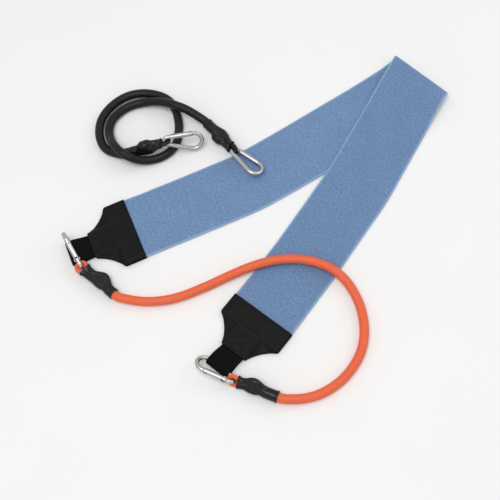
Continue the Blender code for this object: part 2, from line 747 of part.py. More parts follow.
def sleeve_sections(ball):
    """(x, discs) where each disc is (y, radius): the sleeve wraps their hull."""
    strand = STRAND_R
    ball_r = BALL_R + 0.1 * MM
    sections = []
    for x in (SLEEVE_START, 6.3 * MM, 8.5 * MM, 11 * MM, 14 * MM):
        if x < ball[0] - 11.5 * MM:
            back = reach(x, leg, strand) - strand
            y = max(back, reach(x, lambda at: main_strand(at, ball)) - strand)
            sections.append((x, (y, strand), (-back, strand)))
    for past, share, radius in (
        (-10, 0.12, strand), (-7.5, 0.4, strand + 1.0 * MM), (-5, 0.85, ball_r - 0.6 * MM), (-2.5, 1, ball_r),
        (0, 1, ball_r), (2.5, 1, ball_r), (5, 0.9, ball_r - 0.6 * MM), (8, 0.5, ball_r - 1.4 * MM),
        (11, 0.15, TUBE_R - 0.6 * MM), (14, 0, TUBE_R), (16, 0, TUBE_R),
    ):
        x = ball[0] + past * MM
        main = main_strand(x, ball)[1]
        y = reach(x, lambda at: main_strand(at, ball)) - main
        rest = -LEG_Y if past < 0 else 0.0
        sections.append((x, (y, main), (rest + (ball[1] - rest) * share, radius)))
    sections.append((SLEEVE_END, (0.0, TUBE_R), (0.0, TUBE_R)))
    return sections


def sleeve_mesh(ball, twist):
    outer = []
    inner = []
    count = 16
    for x, first, second in sleeve_sections(ball):
        for rings, extra in ((inner, SLEEVE_GAP), (outer, SLEEVE_GAP + SLEEVE_WALL)):
            ring = []
            for j in range(count):
                angle = 2 * math.pi * j / count
                reach = [disc[0] * math.cos(angle) + disc[1] for disc in (first, second)]
                y, radius = first if reach[0] >= reach[1] else second
                size = radius + extra
                ring.append(twisted((x, y + size * math.cos(angle), size * math.sin(angle)), twist))
            rings.append(ring)
    return shell_mesh("sleeve", outer, inner, 50)


def ball_mesh():
    rings = []
    for k in range(1, 8):
        polar = math.pi * k / 8
        rings.append(cylinder(BALL_R * math.sin(polar), -BALL_R * math.cos(polar), 0, 12)[0])
    return ring_mesh("ball", rings, 60)


def build_tube_end(name, matrix, colour, pivot, ball, twist=0.0):
    eye = facing_out(eye_mesh(ball, twist))
    add_node(f"{name}_eye", eye, material(*colour), matrix, pivot)
    sleeve = facing_out(sleeve_mesh(ball, twist))
    add_node(f"{name}_sleeve", sleeve, material("moulded sleeve", SLEEVE_BLACK), matrix, pivot)
    centre = twisted((*ball, 0), twist)
    stopper = facing_out(ball_mesh())
    place = matrix @ Matrix.Translation(centre)
    add_node(f"{name}_stopper_ball", stopper, material("stopper", BLACK_RUBBER), place, pivot)


def eye_matrix(hook_matrix, sleeve_dir, contact, strand_side, slack=0.0):
    """The tube end's frame where the eye sits on the hook's narrow end, with its +Y towards strand_side."""
    x_axis = hook_matrix.col[0].to_3d()
    y_axis = hook_matrix.col[1].to_3d()
    angle = math.atan2(y_axis.dot(sleeve_dir), x_axis.dot(sleeve_dir))
    out = Vector((math.cos(angle), math.sin(angle), 0))
    tangent = (y_axis * out.x - x_axis * out.y).normalized()
    if contact is None:
        contact = hook_matrix @ (Vector((NARROW_R, 0, 0)) + out * NARROW_R)
    across = tangent.cross(sleeve_dir)
    if across.dot(strand_side) < 0:
        tangent = -tangent
        across = -across
    return frame_matrix(sleeve_dir, across, tangent, contact - sleeve_dir * slack)


def arc_point(x_axis, y_axis, sleeve_dir):
    """The eye's contact with the narrow end, from the hook's origin."""
    angle = math.atan2(y_axis.dot(sleeve_dir), x_axis.dot(sleeve_dir))
    return x_axis * (NARROW_R + NARROW_R * math.cos(angle)) + y_axis * NARROW_R * math.sin(angle)


def direction(heading, down):
    """A unit vector at a compass heading in degrees, dipping by down degrees."""
    h = math.radians(heading)
    d = math.radians(down)
    return Vector((math.cos(d) * math.cos(h), math.cos(d) * math.sin(h), -math.sin(d)))


def belt_hook_matrix(hem, heading, aside, spine_x, skew, slide, lean, lift):
    """A hook whose spine lies in the webbing's fold. lean is the angle of its plane above the floor, outward."""
    tab = tab_matrix(hem, heading)
    axis = web_levels()[2]
    to_narrow = tab.to_3x3() @ Vector((-math.sin(skew), math.cos(skew), 0))
    outward = tab.to_3x3() @ Vector((math.cos(skew), math.sin(skew), 0))
    gate_side = outward * math.cos(lean) + Vector((0, 0, 1)) * math.sin(lean)
    along = -to_narrow
    x_axis = along * math.cos(TAPER) + gate_side * math.sin(TAPER)
    y_axis = -along * math.sin(TAPER) + gate_side * math.cos(TAPER)
    z_axis = x_axis.cross(y_axis)
    middle = tab @ Vector((spine_x, aside, axis + lift))
    start = middle + to_narrow * slide
    origin = start - x_axis * SPINE_NARROW.x - y_axis * SPINE_NARROW.y
    return frame_matrix(x_axis, y_axis, z_axis, origin), middle, along


def loose_hook_matrix(contact, sleeve_dir, heading, down, roll):
    """A hook hung on an eye: its +X heading and dip, and its roll about +X with the gate side up."""
    x_axis = direction(heading, down)
    level = Vector((-x_axis.y, x_axis.x, 0)).normalized()
    up = x_axis.cross(level)
    y_axis = level * math.cos(roll) + up * math.sin(roll)
    origin = contact - arc_point(x_axis, y_axis, sleeve_dir)
    return frame_matrix(x_axis, y_axis, x_axis.cross(y_axis), origin)


def add_cord(name, route, colour):
    line, length = catmull(route, 9.5 * MM)
    curve = bpy.data.curves.new(name, "CURVE")
    curve.dimensions = "3D"
    spline = curve.splines.new("POLY")
    spline.points.add(len(line) - 1)
    for point, place in zip(spline.points, line):
        point.co = (*place, 1.0)
    curve.bevel_depth = TUBE_R
    curve.bevel_resolution = 4
    curve.use_fill_caps = True
    curve.resolution_u = 1
    curve.materials.append(material(*colour))
    obj = bpy.data.objects.new(name, curve)
    bpy.context.scene.collection.objects.link(obj)
    report_cord(name, line, length)


def report_cord(name, line, length):
    """Prints the length and the least gap to itself of a cord."""
    points = np.array([tuple(p) for p in line])
    fine = np.concatenate([points[:-1] + (points[1:] - points[:-1]) * t for t in (0, 0.25, 0.5, 0.75)])
    order = np.concatenate([np.arange(len(points) - 1) + t for t in (0, 0.25, 0.5, 0.75)])
    step = length / (len(points) - 1)
    apart = np.linalg.norm(fine[:, None] - fine[None], axis=2)
    run = np.abs(order[:, None] - order[None]) * step
    apart[run < 6 * TUBE_R] = 1.0
    print(f"{name} length {length * 1000:.1f} mm, least gap to itself {(apart.min() - 2 * TUBE_R) * 1000:.2f} mm")


def cord_end(matrix):
    """Where a cord starts inside a sleeve, its mouth and a straight lead out of it."""
    inside = matrix @ Vector((SLEEVE_END - BORE_DEPTH + GAP, 0, 0))
    mouth = matrix @ Vector((SLEEVE_END, 0, 0))
    lead = matrix @ Vector((SLEEVE_END + 4 * MM, 0, 0))
    return [inside, mouth, lead]


CORAL_ROUTE = [
    (-165.5, -55.9, 0.0), (-144.3, -60.7, 0.0), (-121.8, -61.4, 0.0), (-92.3, -56.8, 0.0), (-62.1, -50.5, 0.9),
    (-37.6, -46.8, 3.2), (-14.3, -45.5, 3.6), (8.5, -48.3, 3.6), (30.4, -56.2, 3.5), (50.5, -70.5, 3.2),
    (63.0, -88.4, 1.0), (69.6, -111.7, 0.0), (70.0, -133.7, 0.0), (66.4, -152.2, 0.0), (58.3, -169.4, 0.0),
    (44.6, -184.9, 0.0), (27.2, -196.7, 0.0), (6.4, -203.9, 0.0), (-13.0, -204.9, 0.0),
]
BLACK_ROUTE = [
    (-174.0, 145.0, 0.0), (-179.0, 156.5, 0.0), (-179.5, 172.5, 0.0), (-173.4, 189.5, 0.0), (-158.2, 204.5, 0.0),
    (-137.0, 213.0, 0.0), (-116.6, 211.6, 0.0), (-98.0, 202.6, 0.0), (-87.9, 192.0, 0.0), (-83.0, 177.1, 0.0),
    (-82.8, 157.0, 0.0), (-85.6, 144.0, 0.0), (-88.8, 135.0, 0.0), (-95.9, 126.0, 0.0), (-106.0, 120.0, 0.0),
    (-120.6, 117.5, 0.0), (-136.0, 118.5, 3.5), (-148.0, 122.5, 10.5), (-157.0, 131.0, 13.0), (-163.5, 143.5, 10.8),
    (-166.8, 157.5, 4.0), (-167.0, 171.0, 0.9), (-160.5, 185.0, 0.4), (-139.5, 197.5, 0.0), (-115.0, 197.0, 2.0),
    (-98.0, 189.0, 7.5), (-83.0, 178.5, 11.2), (-69.0, 169.0, 8.5),
]


def main():
    clear_scene()
    coral = ("coral rubber", CORAL)
    black = ("black rubber", BLACK_RUBBER)
    build_band()
    for side, hem, heading, aside in (
        ("left", LEFT_HEM, LEFT_HEADING, 0.0), ("right", RIGHT_HEM, RIGHT_HEADING, RIGHT_ASIDE),
    ):
        build_tab(side, hem, heading)
        build_webbing(side, hem, heading, aside)
    masters = {
        "frame": facing_out(hook_frame_mesh()),
        "gate": facing_out(gate_mesh()),
        "rivet": facing_out(rivet_mesh()),
        "spring": facing_out(spring_mesh()),
    }
    mouth_z = TUBE_R + SLEEVE_GAP + SLEEVE_WALL + 0.3 * MM

    ends = {}
    for name, hem, heading, aside, spine_x, skew, slide, lean, lift, sleeve_heading, strand_side, slack, ball in (
        (
            "left_belt_clip", LEFT_HEM, LEFT_HEADING, 0.0, 75.2, 7.0, 18.6, 90.0, 0.0, -52.3,
            Vector((0.79, 0.61, 0)), 0.2, (28.6, 0.0),
        ),
        (
            "right_belt_clip", RIGHT_HEM, RIGHT_HEADING, RIGHT_ASIDE, 76.0, 0.0, 18.9, 38.0, 0.1, -33.8,
            Vector((0, 0, 1)), 0.3, (22.6, 0.0),
        ),
    ):
        matrix, middle, along = belt_hook_matrix(
            hem, heading, aside, spine_x * MM, math.radians(skew), slide * MM, math.radians(lean), lift * MM
        )
        level = direction(sleeve_heading, 0)
        contact = matrix.translation + arc_point(matrix.col[0].to_3d(), matrix.col[1].to_3d(), level)
        dip = math.degrees(math.asin((contact.z - mouth_z) / SLEEVE_END))
        sleeve_dir = direction(sleeve_heading, dip)
        end = eye_matrix(matrix, sleeve_dir, None, strand_side, slack * MM)
        pivot_matrix = frame_matrix(along, Vector((0, 0, 1)).cross(along), Vector((0, 0, 1)), middle)
        pivot = add_pivot(f"{name}_pivot", pivot_matrix)
        build_hook(name, matrix, pivot, masters)
        side = name.split("_")[0]
        build_tube_end(f"coral_{side}", end, coral, pivot, (ball[0] * MM, ball[1] * MM))
        ends[side] = end
        report_axis(name, middle, along)

    for name, contact, sleeve_heading, heading, down, roll, strand_side, ball, twist in (
        ("loose_clip_a", (-103.0, 128.1, 20.3), 174.5, -7.0, 13.5, 54.0, Vector((0, 0.3, 1)), (25.3, -3.0), -100.0),
        ("loose_clip_b", (-25.5, 103.4, 10.4), 117.3, -56.5, 0.5, -25.0, Vector((0.6, 0.3, 1)), (26.0, -3.0), 70.0),
    ):
        contact = Vector(contact) * MM + SHIFT
        dip = math.degrees(math.asin((contact.z - mouth_z) / SLEEVE_END))
        sleeve_dir = direction(sleeve_heading, dip)
        matrix = loose_hook_matrix(contact, sleeve_dir, heading, down, math.radians(roll))
        end = eye_matrix(matrix, sleeve_dir, contact, strand_side)
        pivot = add_pivot(f"{name}_pivot", end)
        build_hook(name, matrix, pivot, masters)
        side = name[-1]
        build_tube_end(f"black_{side}", end, black, None, (ball[0] * MM, ball[1] * MM), math.radians(twist))
        ends[side] = end
        report_axis(name, contact, end.col[2].to_3d())

    route = [Vector((x * MM, y * MM, TUBE_Z + z * MM)) + SHIFT for x, y, z in CORAL_ROUTE]
    add_cord("coral_tube", cord_end(ends["left"]) + route + cord_end(ends["right"])[::-1], coral)
    route = [Vector((x * MM, y * MM, TUBE_Z + z * MM)) + SHIFT for x, y, z in BLACK_ROUTE]
    add_cord("black_tube", cord_end(ends["a"]) + route + cord_end(ends["b"])[::-1], black)


main()
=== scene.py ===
"""Squat resistance band: finished pieces, materials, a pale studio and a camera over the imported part."""

import math

import bmesh
import bpy
import numpy as np
from bpy.props import FloatProperty, FloatVectorProperty, IntProperty, PointerProperty
from mathutils import Matrix, Vector, noise


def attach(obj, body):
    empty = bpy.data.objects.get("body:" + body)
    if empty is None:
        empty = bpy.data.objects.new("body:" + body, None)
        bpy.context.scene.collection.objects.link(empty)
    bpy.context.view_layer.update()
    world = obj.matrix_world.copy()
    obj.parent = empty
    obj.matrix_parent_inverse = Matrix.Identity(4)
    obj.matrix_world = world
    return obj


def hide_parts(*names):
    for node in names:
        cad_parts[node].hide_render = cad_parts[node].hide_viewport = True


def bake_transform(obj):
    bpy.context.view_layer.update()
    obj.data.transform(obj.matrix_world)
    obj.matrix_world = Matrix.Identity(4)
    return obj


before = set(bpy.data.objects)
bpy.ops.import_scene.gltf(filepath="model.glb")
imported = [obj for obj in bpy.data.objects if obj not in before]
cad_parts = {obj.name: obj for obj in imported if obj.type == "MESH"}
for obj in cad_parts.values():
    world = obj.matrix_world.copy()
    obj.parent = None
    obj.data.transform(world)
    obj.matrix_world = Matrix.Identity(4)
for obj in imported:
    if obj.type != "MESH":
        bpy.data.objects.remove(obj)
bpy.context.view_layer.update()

bl_info = {
    "name": "Squat Resistance Band",
    "version": (1, 0, 0),
    "blender": (4, 5, 0),
    "location": "3D View > Sidebar > Resistance Band",
    "description": "Builds the finished pieces of a squat resistance band with two rubber tubes",
    "category": "Object",
}

MM = 0.001

# Clearances
GAP = 0.3 * MM
SLEEVE_GAP = 0.35 * MM
FLOOR_GAP = 0.1 * MM

# Belt
TAB_WIDTH = 80 * MM
BAND_WIDTH = TAB_WIDTH - 1 * MM
BAND_THICK = 2.4 * MM
BAND_IN_TAB = 23.5 * MM
PLY_THICK = 1.2 * MM
TAB_NECK_X = 54 * MM
SEAM_X = 27.5 * MM
SEAM_INSET = 2.4 * MM
SHOULDER_X = 28.2 * MM
SHOULDER_DROP = 3.6 * MM
NECK_MARGIN = 1.7 * MM
FOLD_RADIUS = 4.5 * MM
WEB_WIDTH = 29 * MM
WEB_THICK = 1.5 * MM
WEB_START_X = BAND_IN_TAB + 1.5 * MM
WEB_CAVITY = 3.4 * MM
WEB_FOLD_X = 77 * MM
WEB_SLACK = 3.6 * MM
WEB_TRIM = 0.15 * MM

# Snap hook
WIRE_R = 2.5 * MM
WIDE_INSIDE_R = 7.25 * MM
NARROW_INSIDE_R = 2.1 * MM
HOOK_INSIDE = 40 * MM
WIDE_R = WIDE_INSIDE_R + WIRE_R
NARROW_R = NARROW_INSIDE_R + WIRE_R
ARC_SPAN = HOOK_INSIDE - WIDE_INSIDE_R - NARROW_INSIDE_R
TAPER = math.asin((WIDE_R - NARROW_R) / ARC_SPAN)
GATE_R = 3.0 * MM
GATE_ROUND = 0.45 * MM
RIVET_FROM_TIP = 12 * MM
RIVET_R = 1.0 * MM
RIVET_HEAD_R = 1.7 * MM
RIVET_HEAD = 0.6 * MM
TONGUE_HALF = 1.1 * MM
NOSE_TONGUE = 4.0 * MM
NOSE_HALF = 1.0 * MM
GATE_END_GAP = 0.4 * MM
SPRING_LENGTH = 9 * MM
BORE_R = 1.35 * MM
THROUGH = 12 * MM

# Rubber tubes and their ends
TUBE_R = 5.2 * MM
TUBE_SPACING = 2.5 * MM
# Lengths and headings for a bend of the coral tube behind each belt clip; build_tubes reads them but bends
# nothing by them
LEFT_BEND = 95 * MM
LEFT_BEND_ALONG = (0.94, -0.34, 0)
RIGHT_BEND = 120 * MM
RIGHT_BEND_ALONG = (0.6, 0.8, 0)
STRAND_R = 2.7 * MM
PINCH_R = 2.6 * MM
PINCH_HALF = 1.85 * MM
EYE_R = WIRE_R + PINCH_R + 0.6 * MM
LEG_Y = STRAND_R + 0.25 * MM
SLEEVE_WALL = 0.85 * MM
SLEEVE_START = 4.6 * MM
SLEEVE_END = SLEEVE_START + 46 * MM
BORE_DEPTH = 5 * MM
BALL_R = 5.6 * MM
BALL_CLEAR = BALL_R + GAP + 0.05 * MM
TUBE_Z = TUBE_R + FLOOR_GAP

# Layout on the floor
SHIFT = Vector((0.6, 10.7, 0.0)) * MM
LEFT_HEM = Vector((-157.25, 35.1, 0.0)) * MM + SHIFT
LEFT_HEADING = math.radians(190.8)
RIGHT_HEM = Vector((-34.2, -102.6, 0.0)) * MM + SHIFT
RIGHT_HEADING = math.radians(219.5)
FOLD_MIDDLE = Vector((216.6, 148.2, 0.0)) * MM + SHIFT
FOLD_HEADING = math.radians(-56.2)
RIGHT_ASIDE = -1.4 * MM
TABS = (
    ("left", LEFT_HEM, LEFT_HEADING, 0.0),
    ("right", RIGHT_HEM, RIGHT_HEADING, RIGHT_ASIDE),
)
LEFT_ROUTE = [
    (-157.2, 35.1), (-128.7, 40.5), (-100.0, 45.6), (-71.8, 50.9), (-43.7, 56.2), (-20.3, 60.9),
    (1.6, 67.3), (23.5, 74.4), (49.0, 83.2), (74.5, 92.4), (109.0, 104.9), (136.0, 114.6),
    (163.0, 124.8), (188.0, 135.0),
]
RIGHT_ROUTE = [
    (185.0, 114.0), (165.0, 91.5), (134.0, 56.8), (103.0, 22.5), (77.3, -1.7), (51.6, -25.8),
    (26.0, -50.0), (-4.1, -76.4), (-34.2, -102.6),
]
CORAL_ROUTE = [
    (-165.5, -55.9, 0.0), (-144.3, -60.7, 0.0), (-121.8, -61.4, 0.0), (-92.3, -56.8, 0.0),
    (-62.1, -50.5, 0.9), (-37.6, -46.8, 3.2), (-14.3, -45.5, 3.6), (8.5, -48.3, 3.6),
    (30.4, -56.2, 3.5), (50.5, -70.5, 3.2), (63.0, -88.4, 1.0), (69.6, -111.7, 0.0),
    (70.0, -133.7, 0.0), (66.4, -152.2, 0.0), (58.3, -169.4, 0.0), (44.6, -184.9, 0.0),
    (27.2, -196.7, 0.0), (6.4, -203.9, 0.0), (-13.0, -204.9, 0.0),
]
# The point of the coral route where its two runs meet
OVER_ARM = 7
BLACK_ROUTE = [
    (-174.0, 145.0, 0.0), (-179.0, 156.5, 0.0), (-179.5, 172.5, 0.0), (-173.4, 189.5, 0.0),
    (-158.2, 204.5, 0.0), (-137.0, 213.0, 0.0), (-116.6, 211.6, 0.0), (-98.0, 202.6, 0.0),
    (-87.9, 192.0, 0.0), (-83.0, 177.1, 0.0), (-82.8, 157.0, 0.0), (-85.6, 144.0, 0.0),
    (-88.8, 135.0, 0.0), (-95.9, 126.0, 0.0), (-106.0, 120.0, 0.0), (-120.6, 117.5, 0.0),
    (-136.0, 118.5, 3.5), (-148.0, 122.5, 10.5), (-157.0, 131.0, 13.0), (-163.5, 143.5, 10.8),
    (-166.8, 157.5, 4.0), (-167.0, 171.0, 0.9), (-160.5, 185.0, 0.4), (-139.5, 197.5, 0.0),
    (-115.0, 197.0, 2.0), (-98.0, 189.0, 7.5), (-83.0, 178.5, 11.2), (-69.0, 169.0, 8.5),
]
# Side, hem, heading, shift aside, the spine's x in mm, skew, slide in mm, lean, lift in mm, the sleeve's
# heading, the side that its strand lies on, slack in mm, and the ball's (x, y) in mm; angles in degrees
BELT_CLIPS = (
    (
        "left", LEFT_HEM, LEFT_HEADING, 0.0, 75.2, 7.0, 18.6, 90.0, 0.0, -52.3, (0.79, 0.61, 0), 0.2,
        (28.6, 0.0),
    ),
    (
        "right", RIGHT_HEM, RIGHT_HEADING, RIGHT_ASIDE, 76.0, 0.0, 18.9, 38.0, 0.1, -33.8, (0, 0, 1), 0.3,
        (22.6, 0.0),
    ),
)
# Name, the eye's contact in mm, the sleeve's heading, the hook's heading, tip and roll, the strand's side,
# the ball's (x, y) in mm and the sleeve's twist; angles in degrees
LOOSE_CLIPS = (
    ("a", (-103.0, 128.1, 20.3), 174.5, -7.0, 13.5, 54.0, (0, 0.3, 1), (25.3, -3.0), -100.0),
    ("b", (-25.5, 103.4, 10.4), 117.3, -56.5, 0.5, -25.0, (0.6, 0.3, 1), (26.0, -3.0), 70.0),
)

CAMERA_PLACE = Vector((-0.0324, -0.41299, 0.94397))
CAMERA_RIGHT = Vector((0.97437, -0.20707, -0.08789))
CAMERA_UP = Vector((0.22495, 0.89691, 0.38072))
CAMERA_LENS = 64.8

# Studio
BACKDROP = (0.92, 0.92, 0.91)
FLOOR_HALF = 6.0
FLOOR_DROP = 0.2 * MM
FADE_START = 0.9
FADE_END = 2.6

# Scale at which a wave texture makes one ridge a unit
RIDGE_SCALE = 0.3141593


def length_property(name, description, default):
    return FloatProperty(name=name, description=description, default=default, unit="LENGTH")


def colour_property(name, description, default):
    return FloatVectorProperty(
        name=name, description=description, default=default, subtype="COLOR", size=3, min=0.0, max=1.0
    )


class BandSizes(bpy.types.PropertyGroup):
    """Sizes of the visible details."""

    seam_depth: length_property("Seam Depth", "How deep the stitching pulls the tabs in", 0.45 * MM)
    tab_crown: length_property("Tab Crown", "How far a tab's face swells between its seams", 0.35 * MM)
    stitch_length: length_property("Stitch Length", "Length of one visible stitch", 2.5 * MM)
    stitch_pitch: length_property("Stitch Pitch", "Distance from one stitch to the next", 3.3 * MM)
    thread_radius: length_property("Thread Radius", "Half the thickness of the sewing thread", 0.28 * MM)
    band_ripple: length_property("Band Ripple", "Height of the slow ripples in the elastic", 0.5 * MM)
    sleeve_valley: length_property("Sleeve Valley", "Depth of the hollow between strand and ball", 0.8 * MM)
    sleeve_collar: length_property("Sleeve Collar", "How far a sleeve's lip stands proud", 0.3 * MM)
    tube_steps: IntProperty(name="Tube Steps", description="Faces round a tube", default=32, min=12, max=96)


class BandColours(bpy.types.PropertyGroup):
    """Colours of the materials."""

    elastic: colour_property("Elastic", "Main colour of the woven elastic", (0.212, 0.346, 0.58))
    elastic_dark: colour_property("Elastic Shade", "Darker threads of the elastic", (0.088, 0.16, 0.31))
    elastic_light: colour_property("Elastic Light", "Paler threads and selvages", (0.34, 0.475, 0.70))
    leather: colour_property("Faux Leather", "Colour of the tabs", (0.0052, 0.0052, 0.0063))
    webbing: colour_property("Webbing", "Colour of the webbing loops", (0.0028, 0.0028, 0.0032))
    thread: colour_property("Thread", "Colour of the stitches", (0.006, 0.006, 0.0066))
    steel: colour_property("Steel", "Colour of the snap hooks", (0.46, 0.46, 0.45))
    coral: colour_property("Coral Rubber", "Colour of the coral tube", (0.80, 0.142, 0.062))
    black: colour_property("Black Rubber", "Colour of the black tube", (0.010, 0.010, 0.0115))
    sleeve: colour_property("Sleeve", "Colour of the moulded sleeves", (0.0055, 0.006, 0.0068))
    floor: colour_property("Floor", "Colour of the studio floor", (0.88, 0.88, 0.87))


def sizes():
    return bpy.context.scene.band_sizes


def colours():
    return bpy.context.scene.band_colours


# Curves and numbers

def heading_vector(angle):
    """A level unit vector at an angle in radians."""
    return Vector((math.cos(angle), math.sin(angle), 0))


def run_along(line):
    """Distance along a line at each of its points, for an array of points."""
    return np.concatenate([[0.0], np.cumsum(np.linalg.norm(np.diff(line, axis=0), axis=1))])


def smoothstep(value):
    value = min(1.0, max(0.0, value))
    return value * value * (3 - 2 * value)


def eased(x, xs, ys):
    """A smooth curve through rising points that never overshoots them, read at x."""
    i = min(len(xs) - 2, max(0, int(np.searchsorted(xs, x)) - 1))
    run = [xs[k + 1] - xs[k] for k in range(len(xs) - 1)]
    rise = [(ys[k + 1] - ys[k]) / run[k] for k in range(len(run))]

    def slope(k):
        if k == 0 or k == len(xs) - 1:
            return rise[0] if k == 0 else rise[-1]
        if rise[k - 1] * rise[k] <= 0:
            return 0.0
        return 2 * rise[k - 1] * rise[k] / (rise[k - 1] + rise[k])

    t = min(1.0, max(0.0, (x - xs[i]) / run[i]))
    a, b = slope(i) * run[i], slope(i + 1) * run[i]
    return (
        ys[i] * (2 * t**3 - 3 * t**2 + 1) + a * (t**3 - 2 * t**2 + t)
        + ys[i + 1] * (3 * t**2 - 2 * t**3) + b * (t**3 - t**2)
    )


def catmull(points, spacing):
    """Evenly spaced points along a smooth curve through route points, and its length."""
    route = [Vector(p) for p in points]
    route = [2 * route[0] - route[1]] + route + [2 * route[-1] - route[-2]]
    fine = []
    for i in range(1, len(route) - 2):
        p0, p1, p2, p3 = route[i - 1], route[i], route[i + 1], route[i + 2]
        t0 = 0.0
        t1 = t0 + math.sqrt((p1 - p0).length)
        t2 = t1 + math.sqrt((p2 - p1).length)
        t3 = t2 + math.sqrt((p3 - p2).length)
        for k in range(24):
            t = t1 + (t2 - t1) * k / 24
            a1 = p0 * ((t1 - t) / (t1 - t0)) + p1 * ((t - t0) / (t1 - t0))
            a2 = p1 * ((t2 - t) / (t2 - t1)) + p2 * ((t - t1) / (t2 - t1))
            a3 = p2 * ((t3 - t) / (t3 - t2)) + p3 * ((t - t2) / (t3 - t2))
            b1 = a1 * ((t2 - t) / (t2 - t0)) + a2 * ((t - t0) / (t2 - t0))
            b2 = a2 * ((t3 - t) / (t3 - t1)) + a3 * ((t - t1) / (t3 - t1))
            fine.append(b1 * ((t2 - t) / (t2 - t1)) + b2 * ((t - t1) / (t2 - t1)))
    fine.append(route[-2])
    return even(fine, spacing)


def even(points, spacing):
    """Points spread evenly along a line, and the line's length."""
    line = np.array([tuple(p) for p in points])
    run = run_along(line)
    count = max(2, int(round(run[-1] / spacing)) + 1)
    wanted = np.linspace(0, run[-1], count)
    axes = range(line.shape[1])
    points = [Vector([np.interp(at, run, line[:, axis]) for axis in axes]) for at in wanted]
    return points, float(run[-1])


def frame_matrix(x_axis, y_axis, z_axis, origin):
    rows = [[x_axis[i], y_axis[i], z_axis[i], origin[i]] for i in range(3)]
    return Matrix(rows + [[0, 0, 0, 1]])


# Meshes

def shade(mesh, sharp):
    """Smooth shading, broken at edges sharper than an angle in degrees."""
    mesh.polygons.foreach_set("use_smooth", [True] * len(mesh.polygons))
    mesh.set_sharp_from_angle(angle=math.radians(sharp))


def linked(name, bm):
    """A new object from a bmesh."""
    mesh = bpy.data.meshes.new(name)
    bm.to_mesh(mesh)
    bm.free()
    obj = bpy.data.objects.new(name, mesh)
    bpy.context.scene.collection.objects.link(obj)
    return obj


def finished(name, bm, mat, body, sharp=40):
    """Turns a bmesh into a shown piece with its material and body."""
    obj = linked(name, bm)
    shade(obj.data, sharp)
    obj.data.materials.append(mat)
    if body:
        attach(obj, body)
    return obj


def wrapped_grid(rings, spread=None, loop_rows=False):
    """A flat grid rolled into rings of points. spread gives (u, v) in metres for each row and step."""
    points = np.array([[tuple(p) for p in ring] for ring in rings])
    rows, steps = points.shape[:2]
    last = rows if loop_rows else rows - 1
    bm = bmesh.new()
    uv = bm.loops.layers.uv.new("UVMap")
    bmesh.ops.create_grid(bm, x_segments=last, y_segments=steps, size=0.5)
    spots = {
        vert: (round((vert.co.x + 0.5) * last), round((vert.co.y + 0.5) * steps)) for vert in bm.verts
    }
    if spread is None:
        spread = ring_spread(points)
    for face in bm.faces:
        for loop in face.loops:
            loop[uv].uv = spread(*spots[loop.vert])
    for vert, (i, j) in spots.items():
        vert.co = points[i % rows, j % steps]
    bmesh.ops.remove_doubles(bm, verts=bm.verts, dist=1e-7)
    bmesh.ops.holes_fill(bm, edges=[edge for edge in bm.edges if edge.is_boundary], sides=0)
    bmesh.ops.recalc_face_normals(bm, faces=bm.faces)
    return bm


def ring_spread(points):
    """(u, v) in metres along the rows and round the rings of a rolled grid."""
    middle = points.mean(axis=1)
    along = run_along(middle)
    along = np.append(along, along[-1])
    first = points[len(points) // 2]
    around = np.linalg.norm(np.roll(first, -1, axis=0) - first, axis=1)
    around = np.concatenate([[0.0], np.cumsum(around)])
    return lambda i, j: (along[i], around[j])


def moved(rings, matrix):
    return [[matrix @ Vector(p) for p in ring] for ring in rings]


def turned_frames(line):
    """(side, up) at each point of a line, turning as little as the line lets them."""
    frames = []
    up = Vector((0, 0, 1))
    for i in range(len(line)):
        tangent = (line[min(len(line) - 1, i + 1)] - line[max(0, i - 1)]).normalized()
        up = (up - tangent * up.dot(tangent)).normalized()
        frames.append((tangent.cross(up), up))
    return frames


def tube_rings(line, radius, steps):
    rings = []
    for centre, (side, up) in zip(line, turned_frames(line)):
        ring = []
        for j in range(steps):
            angle = 2 * math.pi * j / steps
            ring.append(centre + side * (radius * math.cos(angle)) + up * (radius * math.sin(angle)))
        rings.append(ring)
    return rings


def carved(obj, cutters):
    """Cuts bmesh cutters out of a piece and leaves a plain mesh."""
    helpers = []
    for bm in cutters:
        helper = linked("cutter", bm)
        cut = obj.modifiers.new("Cut", "BOOLEAN")
        cut.operation = "DIFFERENCE"
        cut.solver = "EXACT"
        cut.object = helper
        helpers.append(helper)
    graph = bpy.context.evaluated_depsgraph_get()
    mesh = bpy.data.meshes.new_from_object(obj.evaluated_get(graph))
    obj.modifiers.clear()
    old = obj.data
    obj.data = mesh
    bpy.data.meshes.remove(old)
    mesh.name = obj.name
    for helper in helpers:
        bpy.data.objects.remove(helper, do_unlink=True)
    shade(mesh, 30)
    return obj


# Materials

